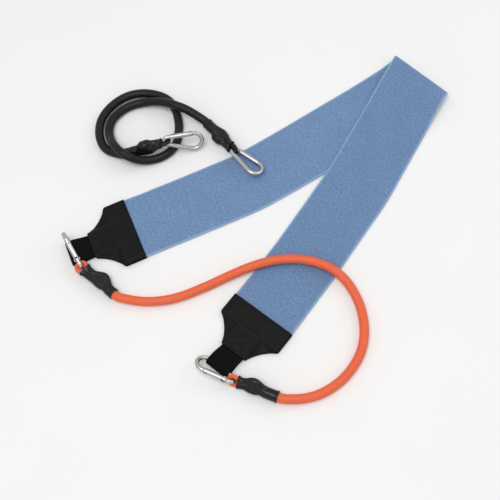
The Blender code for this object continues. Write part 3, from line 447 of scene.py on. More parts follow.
class Tree:
    """A node tree, with short ways to add the nodes that a look is made of."""

    def __init__(self, tree):
        self.nodes, self.links = tree.nodes, tree.links

    def feed(self, socket, value):
        """Links an output to an input, or writes a number, size or colour on it."""
        if hasattr(value, "is_linked"):
            self.links.new(value, socket)
        elif socket.type == "RGBA":
            socket.default_value = (*value, 1.0)
        else:
            socket.default_value = value

    def add(self, kind, values):
        """A new node with its named inputs fed."""
        node = self.nodes.new(kind)
        for name, value in values.items():
            self.feed(node.inputs[name], value)
        return node

    def place(self, source, scale):
        """Coordinates from Texture Coordinate's socket, scaled per axis."""
        coordinate = self.nodes.new("ShaderNodeTexCoord")
        values = {"Scale": scale, "Vector": coordinate.outputs[source]}
        return self.add("ShaderNodeMapping", values).outputs["Vector"]

    def noise(self, vector, detail, roughness):
        values = {"Scale": 1.0, "Detail": detail, "Roughness": roughness, "Vector": vector}
        return self.add("ShaderNodeTexNoise", values).outputs["Fac"]

    def grain(self, scale, detail, roughness):
        """Noise through the object, scale times a metre."""
        return self.noise(self.place("Object", (scale, scale, scale)), detail, roughness)

    def streaks(self, along, across, detail, roughness):
        """Noise over the UV, drawn out along it."""
        return self.noise(self.place("UV", (along, across, 1)), detail, roughness)

    def ridges(self, along, across, axis):
        """Soft ridges over the UV, one for each unit along the axis."""
        values = {"Scale": RIDGE_SCALE, "Vector": self.place("UV", (along, across, 1))}
        wave = self.add("ShaderNodeTexWave", values)
        wave.wave_type = "BANDS"
        wave.bands_direction = axis
        return wave.outputs["Fac"]

    def ranged(self, value, low, high, to_low, to_high):
        values = {"From Min": low, "From Max": high, "To Min": to_low, "To Max": to_high, "Value": value}
        return self.add("ShaderNodeMapRange", values).outputs["Result"]

    def mixed(self, factor, first, second):
        """A colour between two colours or sockets."""
        node = self.nodes.new("ShaderNodeMix")
        node.data_type = "RGBA"
        for socket, value in (("Factor", factor), (6, first), (7, second)):
            self.feed(node.inputs[socket], value)
        return node.outputs[2]

    def sums(self, operation, *values):
        node = self.nodes.new("ShaderNodeMath")
        node.operation = operation
        for socket, value in zip(node.inputs, values):
            self.feed(socket, value)
        return node.outputs[0]

    def either(self, factor, first, second):
        """A shader between two shaders."""
        node = self.nodes.new("ShaderNodeMixShader")
        for socket, value in zip(node.inputs, (factor, first, second)):
            self.feed(socket, value)
        return node.outputs[0]

    def skin(self, colour, roughness, bumps, others):
        """Feeds the material's shader. bumps are (height, depth in mm, strength), the first one lowest."""
        shader = self.nodes["Principled BSDF"]
        normal = None
        for height, depth, strength in bumps:
            values = {"Strength": strength, "Distance": depth * MM, "Height": height}
            bump = self.add("ShaderNodeBump", values)
            if normal:
                self.feed(bump.inputs["Normal"], normal)
            normal = bump.outputs["Normal"]
        if normal:
            self.feed(shader.inputs["Normal"], normal)
        for name, value in {"Base Color": colour, "Roughness": roughness, **others}.items():
            self.feed(shader.inputs[name], value)


def blank(name):
    """A new material and its tree."""
    mat = bpy.data.materials.new(name)
    mat.use_nodes = True
    return mat, Tree(mat.node_tree)


def brighter(tone, times):
    return tuple(min(1.0, part * times) for part in tone)


def elastic_material():
    """Heathered woven elastic: lengthwise yarns, darker flecks, paler selvages and painted shade from the
    fold onto the right arm. Follows the band's UV.
    """
    mat, tree = blank("woven elastic")
    c = colours()
    main, dark, light = tuple(c.elastic), tuple(c.elastic_dark), tuple(c.elastic_light)
    fleck = tree.streaks(440, 780, 5, 0.7)
    yarn = tree.streaks(240, 2600, 3, 0.6)
    cloud = tree.streaks(22, 45, 3, 0.5)
    cords = tree.ridges(1, 1250, "Y")
    picks = tree.ridges(1500, 1, "X")
    both = tree.sums("MULTIPLY_ADD", fleck, 0.55, tree.sums("MULTIPLY", yarn, 0.45))
    place = tree.add("ShaderNodeSeparateXYZ", {"Vector": tree.place("UV", (1, 1, 1))})
    from_middle = tree.sums("ABSOLUTE", place.outputs["Y"], 0.0)
    base = tree.mixed(tree.ranged(both, 0.4, 0.55, 0.1, 1), dark, main)
    base = tree.mixed(tree.ranged(fleck, 0.5, 0.68, 0, 0.7), base, light)
    base = tree.mixed(tree.ranged(cords, 0, 0.4, 0.42, 0), base, dark)
    base = tree.mixed(tree.ranged(cloud, 0.35, 0.7, 0.16, 0), base, dark)
    # Painted shade: darker from about 0.33 m along the band onto the right arm, for the shadow under the fold
    # and the dimmer light on that arm
    base = tree.mixed(tree.ranged(place.outputs["X"], 0.33, 0.46, 0, 0.17), base, dark)
    base = tree.mixed(tree.ranged(from_middle, 0.0368, 0.0388, 0, 0.6), base, light)
    tree.skin(
        base, tree.ranged(fleck, 0.3, 0.7, 0.78, 0.95),
        ((cords, 0.3, 0.6), (picks, 0.12, 0.5), (fleck, 0.14, 0.4)),
        {"Sheen Weight": 0.25, "Sheen Roughness": 0.4, "Specular IOR Level": 0.3},
    )
    return mat


def leather_material():
    """Black faux leather: pebbled grain, satin sheen and rubbed high spots."""
    mat, tree = blank("faux leather")
    pebble = tree.nodes.new("ShaderNodeTexVoronoi")
    pebble.feature = "SMOOTH_F1"
    for name, value in (("Scale", 1250), ("Smoothness", 0.6), ("Vector", tree.place("Object", (1, 1, 1)))):
        tree.feed(pebble.inputs[name], value)
    grain = tree.grain(420, 5, 0.6)
    rubbed = tree.grain(60, 4, 0.6)
    tone = tuple(colours().leather)
    tree.skin(
        tree.mixed(tree.ranged(rubbed, 0.45, 0.75, 0, 0.6), tone, brighter(tone, 1.9)),
        tree.ranged(grain, 0.3, 0.7, 0.42, 0.58),
        ((pebble.outputs["Distance"], 0.1, 0.45), (grain, 0.2, 0.35)), {"Specular IOR Level": 0.1},
    )
    return mat


def webbing_material():
    """Black nylon webbing: lengthwise ribs crossed by fine picks. Follows the webbing's UV."""
    mat, tree = blank("nylon webbing")
    ribs = tree.ridges(1, 720, "Y")
    picks = tree.ridges(1300, 1, "X")
    fuzz = tree.streaks(700, 1500, 4, 0.6)
    tone = tuple(colours().webbing)
    thread = tree.sums("MULTIPLY", ribs, tree.ranged(fuzz, 0.3, 0.7, 0.3, 1))
    tree.skin(
        tree.mixed(thread, tone, brighter(tone, 2.6)), tree.ranged(fuzz, 0.3, 0.7, 0.6, 0.85),
        ((ribs, 0.35, 0.8), (picks, 0.15, 0.5)), {"Specular IOR Level": 0.06},
    )
    return mat


def thread_material():
    """Sewing thread: fine twisted sheen."""
    mat, tree = blank("sewing thread")
    twist = tree.grain(2600, 3, 0.6)
    tone = tuple(colours().thread)
    tree.skin(
        tree.mixed(tree.ranged(twist, 0.35, 0.65, 0, 1), tone, brighter(tone, 2.2)), 0.55,
        ((twist, 0.1, 0.6),), {"Specular IOR Level": 0.12},
    )
    return mat


def steel_material():
    """Bright plated steel: faint drawn lines, finger smudges and tiny pits."""
    mat, tree = blank("plated steel")
    smudge = tree.grain(140, 4, 0.6)
    drawn = tree.grain(1800, 3, 0.5)
    tone = tuple(colours().steel)
    tree.skin(
        tree.mixed(tree.ranged(smudge, 0.4, 0.75, 0, 0.6), tone, brighter(tone, 0.8)),
        tree.ranged(smudge, 0.3, 0.7, 0.2, 0.32), ((drawn, 0.01, 0.25),), {"Metallic": 1.0},
    )
    return mat


def rubber_material(name, tone, low, high):
    """Extruded latex tube: lengthwise draw marks, dusty bloom and a satin skin. Follows the tube's UV."""
    mat, tree = blank(name)
    draw = tree.streaks(30, 900, 4, 0.6)
    bloom = tree.grain(90, 4, 0.6)
    skin = tree.grain(1500, 3, 0.6)
    dusty = tuple(min(1.0, part * 1.04 + 0.006) for part in tone)
    base = tree.mixed(tree.ranged(draw, 0.3, 0.7, 0, 0.5), tone, brighter(tone, 0.84))
    base = tree.mixed(tree.ranged(bloom, 0.5, 0.8, 0, 0.8), base, dusty)
    tree.skin(
        base, tree.ranged(bloom, 0.3, 0.7, low, high), ((draw, 0.06, 0.4), (skin, 0.04, 0.4)),
        {"Specular IOR Level": 0.18},
    )
    return mat


def stopper_material():
    """Hard black stopper: faint tumbling marks."""
    mat, tree = blank("stopper ball")
    marks = tree.grain(500, 4, 0.6)
    tone = tuple(colours().black)
    tree.skin(
        tree.mixed(tree.ranged(marks, 0.4, 0.7, 0, 1), tone, brighter(tone, 1.7)),
        tree.ranged(marks, 0.3, 0.7, 0.4, 0.6), ((marks, 0.05, 0.4),), {"Specular IOR Level": 0.2},
    )
    return mat


def sleeve_material():
    """Glossy moulded sleeve: slight orange peel and mould bloom."""
    mat, tree = blank("moulded sleeve")
    peel = tree.grain(260, 3, 0.5)
    fine = tree.grain(1400, 3, 0.6)
    tone = tuple(colours().sleeve)
    tree.skin(
        tree.mixed(tree.ranged(peel, 0.4, 0.7, 0, 1), tone, brighter(tone, 1.5)),
        tree.ranged(peel, 0.3, 0.7, 0.2, 0.32), ((peel, 0.25, 0.3), (fine, 0.03, 0.3)),
        {"Specular IOR Level": 0.25},
    )
    return mat


def material(name):
    """One of the object's materials, made when first asked for."""
    if name in bpy.data.materials and bpy.data.materials[name].get("finished"):
        return bpy.data.materials[name]
    c = colours()
    made = {
        "woven elastic": elastic_material,
        "faux leather": leather_material,
        "nylon webbing": webbing_material,
        "sewing thread": thread_material,
        "plated steel": steel_material,
        "moulded sleeve": sleeve_material,
        "stopper ball": stopper_material,
        "coral latex": lambda: rubber_material("coral latex", tuple(c.coral), 0.34, 0.46),
        "black latex": lambda: rubber_material("black latex", tuple(c.black), 0.3, 0.45),
    }[name]()
    made.name = name
    made["finished"] = True
    return made


# Elastic belt

FOLD_DIR = heading_vector(FOLD_HEADING)
FOLD_OUT = Vector((-FOLD_DIR.y, FOLD_DIR.x, 0))


def on_floor(route):
    """Layout points as vectors in the part's place."""
    return [Vector((x, y, 0)) * MM + SHIFT for x, y in route]


def arm_rows(line, length, sense, arm, half):
    rows = []
    for i, centre in enumerate(line):
        step = line[min(len(line) - 1, i + 1)] - line[max(0, i - 1)]
        square = math.atan2(step.y, step.x) + sense * math.pi / 2
        run = length * i / (len(line) - 1)
        from_fold = run if arm == "right" else length - run
        weight = 1 - smoothstep((from_fold - 8 * MM) / (75 * MM))
        turn = (FOLD_HEADING - square + math.pi) % (2 * math.pi) - math.pi
        row_dir = heading_vector(square + turn * weight)
        rows.append((centre, row_dir, half / math.cos(turn * weight), arm, 0.0))
    return rows


def band_rows():
    """(centre, row direction, half length, arm, arc angle) for each row of the belt."""
    half = BAND_WIDTH / 2
    bend = FOLD_RADIUS + BAND_THICK / 2
    first = FOLD_MIDDLE - FOLD_OUT * bend - FOLD_DIR * 1.25 * MM
    last = FOLD_MIDDLE - FOLD_OUT * bend + FOLD_DIR * 1.25 * MM
    left_out = heading_vector(LEFT_HEADING)
    route = [LEFT_HEM + left_out * BAND_IN_TAB, LEFT_HEM + left_out * BAND_IN_TAB / 2]
    line, length = catmull(route + on_floor(LEFT_ROUTE) + [first], 4 * MM)
    rows = arm_rows(line, length, -1, "left", half)
    for k in range(1, 16):
        centre = first.lerp(last, k / 16) + FOLD_OUT * FOLD_RADIUS * math.sin(math.pi * k / 16)
        rows.append((centre, FOLD_DIR, half / math.cos(math.radians(14)), "bend", math.pi * k / 16))
    right_out = heading_vector(RIGHT_HEADING)
    route = [RIGHT_HEM + right_out * BAND_IN_TAB / 2, RIGHT_HEM + right_out * BAND_IN_TAB]
    line, length = catmull([last] + on_floor(RIGHT_ROUTE) + route, 4 * MM)
    return rows + arm_rows(line, length, 1, "right", half)


def left_arm_line():
    route = [LEFT_HEM + heading_vector(LEFT_HEADING) * BAND_IN_TAB] + on_floor(LEFT_ROUTE)
    line, _ = catmull(route + [FOLD_MIDDLE], 8 * MM)
    return np.array([(p.x, p.y) for p in line])


def over_left_arm(x, y, centre_line):
    """1 over the left arm, falling to 0 past its lower edge."""
    distance = np.hypot(centre_line[:, 0] - x, centre_line[:, 1] - y)
    i = int(distance.argmin())
    a = centre_line[max(0, i - 1)]
    b = centre_line[min(len(centre_line) - 1, i + 1)]
    unit = (b - a) / np.linalg.norm(b - a)
    below = -(unit[0] * (y - centre_line[i, 1]) - unit[1] * (x - centre_line[i, 0]))
    return 1 - smoothstep((below - BAND_WIDTH / 2 - 2 * MM) / (23 * MM))


def band_height(point, arm, angle, centre_line):
    """Height of the elastic's mid-surface at a point of its row."""
    flat = BAND_THICK / 2
    in_tab = PLY_THICK + GAP + BAND_THICK / 2
    if arm == "bend":
        return flat + FOLD_RADIUS - FOLD_RADIUS * math.cos(angle)
    from_hem = -past_hem(point, arm)
    z = in_tab + (flat - in_tab) * smoothstep((from_hem - 1 * MM) / (26 * MM))
    ripple = sizes().band_ripple * (0.5 + 0.5 * noise.noise(point * 22))
    away = smoothstep((from_hem - 12 * MM) / (30 * MM))
    if arm == "left":
        return z + ripple * away * (1 - smoothstep((point.x - 60 * MM) / (60 * MM)))
    on_arm = BAND_THICK + GAP + BAND_THICK / 2
    over = flat + (on_arm - flat) * over_left_arm(point.x, point.y, centre_line)
    from_fold = -(point - FOLD_MIDDLE).dot(FOLD_OUT) - (FOLD_RADIUS + BAND_THICK / 2)
    top = flat + 2 * FOLD_RADIUS
    lift = (top - on_arm) * (1 - smoothstep(from_fold / (70 * MM)))
    return max(z, over + lift) + ripple * 0.6 * away * smoothstep(from_fold / (60 * MM))


def cloth_section(columns, thickness, round_by):
    """(column, inset, normal offset) round a sheet: its top from the last column on, then back below."""
    last = columns - 1

    def edge(column, start, turn):
        angles = [start + turn * k / 6 for k in range(7)]
        return [(column, round_by * (1 - math.cos(a)), thickness / 2 * math.sin(a)) for a in angles]

    top = [(c, 0.0, thickness / 2) for c in range(last - 1, 0, -1)]
    back = [(c, 0.0, -thickness / 2) for c in range(1, last)]
    return edge(last, -math.pi / 2, math.pi) + top + edge(0, math.pi / 2, -math.pi) + back


def cloth_rings(middle, across, thickness, round_by):
    """Rings round a sheet from its mid-surface grid, and the (u, v) of each."""
    along_step = np.gradient(middle, axis=0)
    across_step = np.gradient(middle, axis=1)
    normal = np.cross(along_step, across_step)
    normal /= np.linalg.norm(normal, axis=2, keepdims=True)
    inward = across_step / np.linalg.norm(across_step, axis=2, keepdims=True)
    run = run_along(middle.mean(axis=1))
    section = cloth_section(middle.shape[1], thickness, round_by)
    rings = []
    for i in range(len(middle)):
        ring = []
        for column, inset, offset in section:
            side = -1 if column else 1
            ring.append(middle[i, column] + inward[i, column] * inset * side + normal[i, column] * offset)
        rings.append(ring)
    places = [across[column] for column, _, _ in section]
    places.append(places[0])
    return rings, lambda i, j: (run[i], places[j])


def past_hem(point, arm):
    """How far a point of the belt lies inside its tab."""
    if arm == "bend":
        return 0.0
    hem, heading = (LEFT_HEM, LEFT_HEADING) if arm == "left" else (RIGHT_HEM, RIGHT_HEADING)
    return (point - hem).dot(heading_vector(heading))


def build_belt():
    columns = 27
    across = np.linspace(-1, 1, columns)
    centre_line = left_arm_line()
    grid = []
    for centre, row_dir, half, arm, angle in band_rows():
        row = []
        tucked = 1 - 0.035 * smoothstep(past_hem(centre, arm) / (2 * MM))
        for share in across:
            point = centre + row_dir * half * tucked * share
            row.append((point.x, point.y, band_height(point, arm, angle, centre_line)))
        grid.append(row)
    middle = np.array(grid)
    rings, spread = cloth_rings(middle, across * BAND_WIDTH / 2, BAND_THICK, 1.0 * MM)
    bm = wrapped_grid(rings, spread)
    belt = finished("elastic_belt", bm, material("woven elastic"), "belt", 50)
    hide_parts("elastic_band")
    length = spread(len(middle) - 1, 0)[0]


# Tabs

def tab_half_width(x):
    """Half the width of a tab at x, from its hem over its shoulder to its neck."""
    half = TAB_WIDTH / 2
    at_shoulder = half - SHOULDER_DROP
    if x <= SHOULDER_X:
        xs = [0, 20 * MM, 24.4 * MM, 26.6 * MM, SHOULDER_X]
        return eased(x, xs, [half, half, half, half - 1.1 * MM, at_shoulder])
    rise = at_shoulder - (WEB_WIDTH / 2 + NECK_MARGIN)
    along = (x - SHOULDER_X) / (TAB_NECK_X - SHOULDER_X)
    steps = [0, 0.09, 0.2, 0.34, 0.5, 0.64, 0.82, 1]
    return at_shoulder - rise * eased(along, steps, [0, 0.16, 0.31, 0.49, 0.65, 0.77, 0.9, 1])


def ply_under(x, y):
    """Height of the underside of the front ply."""
    low = PLY_THICK + GAP
    elastic = (BAND_THICK + GAP) * (1 - smoothstep((x - BAND_IN_TAB - 0.5 * MM) / (7 * MM)))
    beside = max(0.0, abs(y) - WEB_WIDTH / 2 - 0.4 * MM)
    rise = smoothstep((x - WEB_START_X + 5 * MM) / (4.5 * MM))
    web = max(0.0, 2 * WEB_THICK + 2 * GAP - 0.65 * beside) * rise
    return low + max(elastic, web)


def seam_lines():
    """The tab's stitched lines, each a list of (x, y)."""
    low, high, wide = 30.5 * MM, 50.5 * MM, 12.6 * MM
    hem, corner = 2 * MM, SEAM_X - 4.6 * MM
    edge = [(x, tab_half_width(x) - SEAM_INSET) for x in np.linspace(28.6 * MM, 51.2 * MM, 12)]
    side = TAB_WIDTH / 2 - SEAM_INSET
    top = TAB_WIDTH / 2 - 3.4 * MM
    return [
        [(SEAM_X, -top), (SEAM_X, top)],
        [(hem, -side), (hem, side)],
        [(hem, side), (corner, side)],
        [(hem, -side), (corner, -side)],
        [(low, -wide), (high, -wide)],
        [(low, wide), (high, wide)],
        [(high, -wide), (high, wide)],
        [(low, -wide), (low, wide)],
        [(low, -wide), (high, wide)],
        [(low, wide), (high, -wide)],
        edge,
        [(x, -y) for x, y in edge],
    ]


def seam_distance(x, y, lines):
    """Distance from (x, y) to the nearest stitched line."""
    best = 1.0
    for line in lines:
        for (ax, ay), (bx, by) in zip(line[:-1], line[1:]):
            run_x, run_y = bx - ax, by - ay
            t = ((x - ax) * run_x + (y - ay) * run_y) / (run_x * run_x + run_y * run_y)
            t = min(1.0, max(0.0, t))
            best = min(best, math.hypot(x - ax - t * run_x, y - ay - t * run_y))
    return best


def tab_top(x, y, lines):
    """Height of the front ply's face: crowned between its seams and pulled in along them."""
    from_edge = max(0.0, min(tab_half_width(x) - abs(y), x, TAB_NECK_X - x))
    crown = sizes().tab_crown * (1 - math.exp(-from_edge / (3 * MM)))
    near = seam_distance(x, y, lines)
    pull = sizes().seam_depth * math.exp(-((near / (0.85 * MM)) ** 2))
    return ply_under(x, y) + PLY_THICK + crown - pull


def edge_share(inset, rounding):
    """How much of its thickness a ply keeps at a distance from its edge."""
    return math.sqrt(max(0.0, 1 - (1 - min(1.0, inset / rounding)) ** 2)) * 0.85 + 0.15


def tab_rings(under, over, rounding):
    """Rings across a tab's ply, thinned to a rounded edge all round."""
    shares = [-1 + 2 * k / 64 for k in range(65)]
    ends = [0, 0.12 * MM, 0.35 * MM, 0.7 * MM]
    xs = ends + [k * 0.9 * MM for k in range(1, 59)] + [TAB_NECK_X - e for e in reversed(ends)]
    xs = [x for x in xs if x <= TAB_NECK_X]
    xs = sorted(set(round(x, 7) for x in xs))
    rings = []
    for x in xs:
        half = tab_half_width(x)
        thin = edge_share(min(x, TAB_NECK_X - x), rounding)
        top, bottom = [], []
        for share in shares:
            y = half * share
            if abs(share) > 0.82:
                y = half * math.copysign(1 - (1 - abs(share)) ** 1.25, share)
            low, high = under(x, y), over(x, y)
            kept = min(thin, edge_share(half - abs(y), rounding))
            centre, thick = (low + high) / 2, (high - low) / 2 * kept
            top.append((x, y, centre + thick))
            bottom.append((x, y, centre - thick))
        rings.append(top + bottom[::-1])
    return rings


def tab_matrix(hem, heading):
    return Matrix.Translation(hem) @ Matrix.Rotation(heading, 4, "Z")


def tab_area():
    xs = np.linspace(0, TAB_NECK_X, 200)
    return float(np.mean([2 * tab_half_width(x) for x in xs]) * TAB_NECK_X)


def stitch_row(bm, line, height, matrix):
    """Small oval stitches laid end to end along one seam."""
    s = sizes()
    run, length = even(line, 0.5 * MM)
    count = max(1, int(round((length - 1 * MM) / s.stitch_pitch)))
    for k in range(count):
        at = (k + 0.5) / count * (len(run) - 1)
        i = min(len(run) - 2, int(at))
        x, y = run[i].lerp(run[i + 1], at - i)
        step = run[i + 1] - run[i]
        turn = math.atan2(step.y, step.x)
        ahead = height(x + step.x * 2, y + step.y * 2) - height(x - step.x * 2, y - step.y * 2)
        tilt = math.atan2(ahead, 4 * step.length)
        place = Matrix.Translation((x, y, height(x, y) + s.thread_radius * 0.55))
        place = place @ Matrix.Rotation(turn, 4, "Z") @ Matrix.Rotation(-tilt, 4, "Y")
        size = Matrix.Diagonal((s.stitch_length / 2, s.thread_radius * 1.15, s.thread_radius, 1))
        bmesh.ops.create_uvsphere(bm, u_segments=8, v_segments=5, radius=1.0, matrix=matrix @ place @ size)


def build_tab(side, hem, heading):
    matrix = tab_matrix(hem, heading)
    lines = seam_lines()
    leather = material("faux leather")
    bm = wrapped_grid(moved(tab_rings(ply_under, lambda x, y: tab_top(x, y, lines), 0.55 * MM), matrix))
    front = finished(f"{side}_tab_face", bm, leather, "belt", 60)
    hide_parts(f"{side}_tab_front")
    bm = wrapped_grid(moved(tab_rings(lambda x, y: 0.0, lambda x, y: PLY_THICK, 0.5 * MM), matrix))
    back = finished(f"{side}_tab_lining", bm, leather, "belt", 60)
    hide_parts(f"{side}_tab_back")
    bm = bmesh.new()
    for line in lines:
        stitch_row(bm, line, lambda x, y: tab_top(x, y, lines), matrix)
    stitches = finished(f"{side}_tab_stitching", bm, material("sewing thread"), "belt", 60)
    for piece in (front, back):
        tab_area()


# Webbing loops

def web_levels():
    """Heights of the lower ply, the upper ply and the fold's axis."""
    low = PLY_THICK + GAP + WEB_THICK / 2
    return low, low + WEB_THICK + GAP, WEB_CAVITY + WEB_THICK + FLOOR_GAP


def build_webbing(side, hem, heading, aside):
    low, high, axis = web_levels()
    radius = WEB_CAVITY + WEB_THICK / 2
    neck = TAB_NECK_X
    run = WEB_FOLD_X - WEB_SLACK - neck
    shares = [k / 10 for k in range(1, 11)]

    def rising(start, stop):
        climb = [(t, smoothstep(t * 0.85 + 0.15 * t * t)) for t in shares]
        return [(neck + run * t, start + (stop - start) * part) for t, part in climb]

    path = [(WEB_START_X + (neck - WEB_START_X) * k / 8, low) for k in range(9)]
    path += rising(low, axis - radius)
    for k in range(21):
        angle = -math.pi / 2 + math.pi * k / 20
        path.append((WEB_FOLD_X + radius * math.cos(angle), axis + radius * math.sin(angle)))
    path += rising(high, axis + radius)[::-1]
    path += [(neck + (WEB_START_X - neck) * k / 8, high) for k in range(9)]
    half = WEB_WIDTH / 2 - WEB_TRIM
    across = np.linspace(half, -half, 15)
    matrix = tab_matrix(hem, heading)
    grid = []
    for x, z in path:
        over = aside * smoothstep((x - neck + 4 * MM) / (18 * MM))
        grid.append([tuple(matrix @ Vector((x, y + over, z))) for y in across])
    rings, spread = cloth_rings(np.array(grid), across, WEB_THICK, 0.6 * MM)
    bm = wrapped_grid(rings, spread)
    loop = finished(f"{side}_webbing", bm, material("nylon webbing"), "belt", 50)
    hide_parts(f"{side}_webbing_loop")
    spread(len(path) - 1, 0)[0]


# Snap hooks. A hook's own frame: origin at the narrow end of the wire's centre line, +X to the wide end,
# +Y to the gate, Z along the rivet.

def on_gate_line(x):
    start_x = NARROW_R - NARROW_R * math.sin(TAPER)
    return Vector((x, NARROW_R * math.cos(TAPER) + (x - start_x) * math.tan(TAPER), 0))


RIVET = on_gate_line(RIVET_FROM_TIP - WIRE_R)
NOSE = on_gate_line(NARROW_R + ARC_SPAN - WIDE_R * math.sin(TAPER))
GATE_RUN = (NOSE - RIVET).length
GATE_DIR = (NOSE - RIVET).normalized()
SPINE_NARROW = Vector((NARROW_R - NARROW_R * math.sin(TAPER), -NARROW_R * math.cos(TAPER), 0))


def flat_sided(centre, side, in_plane, out_plane, radius, steps=28):
    """A ring in a plane across the wire, with its sides pressed flat."""
    ring = []
    for j in range(steps):
        angle = 2 * math.pi * (j + 0.5) / steps
        a = max(-in_plane, min(in_plane, radius * math.cos(angle)))
        b = max(-out_plane, min(out_plane, radius * math.sin(angle)))
        ring.append(centre + side * a + Vector((0, 0, b)))
    return ring


def hook_rings():
    """The bent wire, from its forked tongue round both ends to its nose."""
    rings = []

    def add(centre, direction, in_plane, out_plane):
        rings.append(flat_sided(centre, Vector((-direction.y, direction.x, 0)), in_plane, out_plane, WIRE_R))

    def bend(centre, radius, start, stop, steps):
        for k in range(steps + 1):
            out = heading_vector(start + (stop - start) * k / steps)
            add(centre + out * radius, Vector((-out.y, out.x, 0)), WIRE_R, WIRE_R)

    back = -GATE_DIR
    clear = GATE_R + GAP + 0.15 * MM
    for k in range(7):
        s = math.sin(math.radians(76 * (1 - k / 6)))
        add(RIVET + GATE_DIR * WIRE_R * s, back, WIRE_R * math.sqrt(1 - s * s), TONGUE_HALF)
    add(RIVET - GATE_DIR * clear, back, WIRE_R, TONGUE_HALF)
    for k in range(1, 5):
        half = TONGUE_HALF + (WIRE_R - TONGUE_HALF) * math.sin(math.pi / 2 * k / 4)
        add(RIVET - GATE_DIR * (clear + 0.25 * MM * k / 4), back, WIRE_R, half)
    square = math.pi / 2
    bend(Vector((NARROW_R, 0, 0)), NARROW_R, square + TAPER, 3 * square - TAPER, 24)
    bend(Vector((NARROW_R + ARC_SPAN, 0, 0)), WIDE_R, -square - TAPER, square + TAPER, 40)
    for k in range(1, 4):
        half = WIRE_R + (NOSE_HALF - WIRE_R) * math.sin(math.pi / 2 * k / 3)
        add(NOSE - GATE_DIR * 0.25 * MM * k / 3, back, WIRE_R, half)
    add(NOSE - GATE_DIR * (NOSE_TONGUE - 0.3 * MM), back, WIRE_R, NOSE_HALF)
    add(NOSE - GATE_DIR * NOSE_TONGUE, back, WIRE_R - 0.25 * MM, NOSE_HALF - 0.2 * MM)
    return rings


def gate_rings():
    """The gate in its own frame: origin on the rivet, +X to the nose."""
    end = GATE_RUN - GATE_END_GAP
    side = Vector((0, 1, 0))
    rings = []
    for k in range(7):
        s = -math.sin(math.radians(76 * (1 - k / 6)))
        in_plane = GATE_R * math.sqrt(1 - s * s)
        rings.append(flat_sided(Vector((GATE_R * s, 0, 0)), side, in_plane, GATE_R, GATE_R))
    for x in (0.25, 0.5, 0.75):
        rings.append(flat_sided(Vector((end * x, 0, 0)), side, GATE_R, GATE_R, GATE_R))
    for k in range(5):
        angle = math.pi / 2 * k / 4
        size = GATE_R - GATE_ROUND * (1 - math.cos(angle))
        x = end - GATE_ROUND * (1 - math.sin(angle))
        rings.append(flat_sided(Vector((x, 0, 0)), side, size, size, size))
    return rings


def box_cutter(low, high, matrix):
    bm = bmesh.new()
    centre = Vector([(a + b) / 2 for a, b in zip(low, high)])
    size = Matrix.Diagonal([b - a for a, b in zip(low, high)] + [1])
    bmesh.ops.create_cube(bm, size=1.0, matrix=matrix @ Matrix.Translation(centre) @ size)
    return bm


def round_cutter(radius, length, matrix):
    bm = bmesh.new()
    bmesh.ops.create_cone(
        bm, cap_ends=True, segments=28, radius1=radius, radius2=radius, depth=length, matrix=matrix
    )
    return bm


def rivet_bmesh(matrix):
    """A rivet with a domed head at each end, spun about Z."""
    low = GATE_R + GAP
    high = low + RIVET_HEAD
    rim, chamfer = 0.15 * MM, 0.05 * MM
    profile = [(0.0, high)]
    for k in range(1, 6):
        angle = math.pi / 2 * k / 5
        profile.append((RIVET_HEAD_R * math.sin(angle), low + rim + (high - low - rim) * math.cos(angle)))
    profile += [(RIVET_HEAD_R, low + chamfer), (RIVET_HEAD_R - chamfer, low), (RIVET_R, low)]
    profile += [(r, -z) for r, z in reversed(profile)]
    bm = bmesh.new()
    verts = [bm.verts.new((r, 0, z)) for r, z in profile]
    edges = [bm.edges.new(pair) for pair in zip(verts[:-1], verts[1:])]
    bmesh.ops.spin(
        bm, geom=verts + edges, cent=(0, 0, 0), axis=(0, 0, 1), angle=2 * math.pi, steps=28, use_merge=True
    )
    bmesh.ops.remove_doubles(bm, verts=bm.verts, dist=1e-7)
    bmesh.ops.recalc_face_normals(bm, faces=bm.faces)
    bmesh.ops.transform(bm, matrix=matrix, verts=bm.verts)
    return bm


def build_snap_hook(clip, body, matrix):
    """The bent wire, its gate with slots for tongue and nose, and the rivet."""
    steel = material("plated steel")
    gate_turn = Matrix.Rotation(math.atan2(GATE_DIR.y, GATE_DIR.x), 4, "Z")
    gate_matrix = matrix @ Matrix.Translation(RIVET) @ gate_turn
    wire = finished(f"{clip}_wire", wrapped_grid(moved(hook_rings(), matrix)), steel, body, 35)
    carved(wire, [round_cutter(RIVET_R + GAP, THROUGH, matrix @ Matrix.Translation(RIVET))])
    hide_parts(f"{clip}_hook")
    bm = wrapped_grid(moved(gate_rings(), gate_matrix))
    gate = finished(f"{clip}_gate_bar", bm, steel, f"{clip}_gate")
    end = GATE_RUN - GATE_END_GAP
    slot = WIRE_R + 0.5 * MM
    notch = end - NOSE_TONGUE - 0.2 * MM
    wide = 5 * MM
    fork_half = TONGUE_HALF + GAP
    nose_half = NOSE_HALF + GAP
    bore_length = SPRING_LENGTH + 1.9 * MM
    bore_middle = Matrix.Translation((slot - 1 * MM + bore_length / 2, 0, 0))
    carved(gate, [
        round_cutter(BORE_R, bore_length, gate_matrix @ bore_middle @ Matrix.Rotation(math.pi / 2, 4, "Y")),
        round_cutter(RIVET_R + GAP, THROUGH, gate_matrix),
        box_cutter((-wide, -wide, -fork_half), (slot, wide, fork_half), gate_matrix),
        box_cutter((notch, -wide, -nose_half), (end + 2 * MM, wide, nose_half), gate_matrix),
    ])
    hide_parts(f"{clip}_gate")
    pin = finished(f"{clip}_pin", rivet_bmesh(matrix @ Matrix.Translation(RIVET)), steel, body, 35)
    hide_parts(f"{clip}_rivet")


# Tube ends. Their own frame: origin on the hook's wire, +X along the sleeve towards the tube,
# Z along the wire, the running strand on the +Y side.

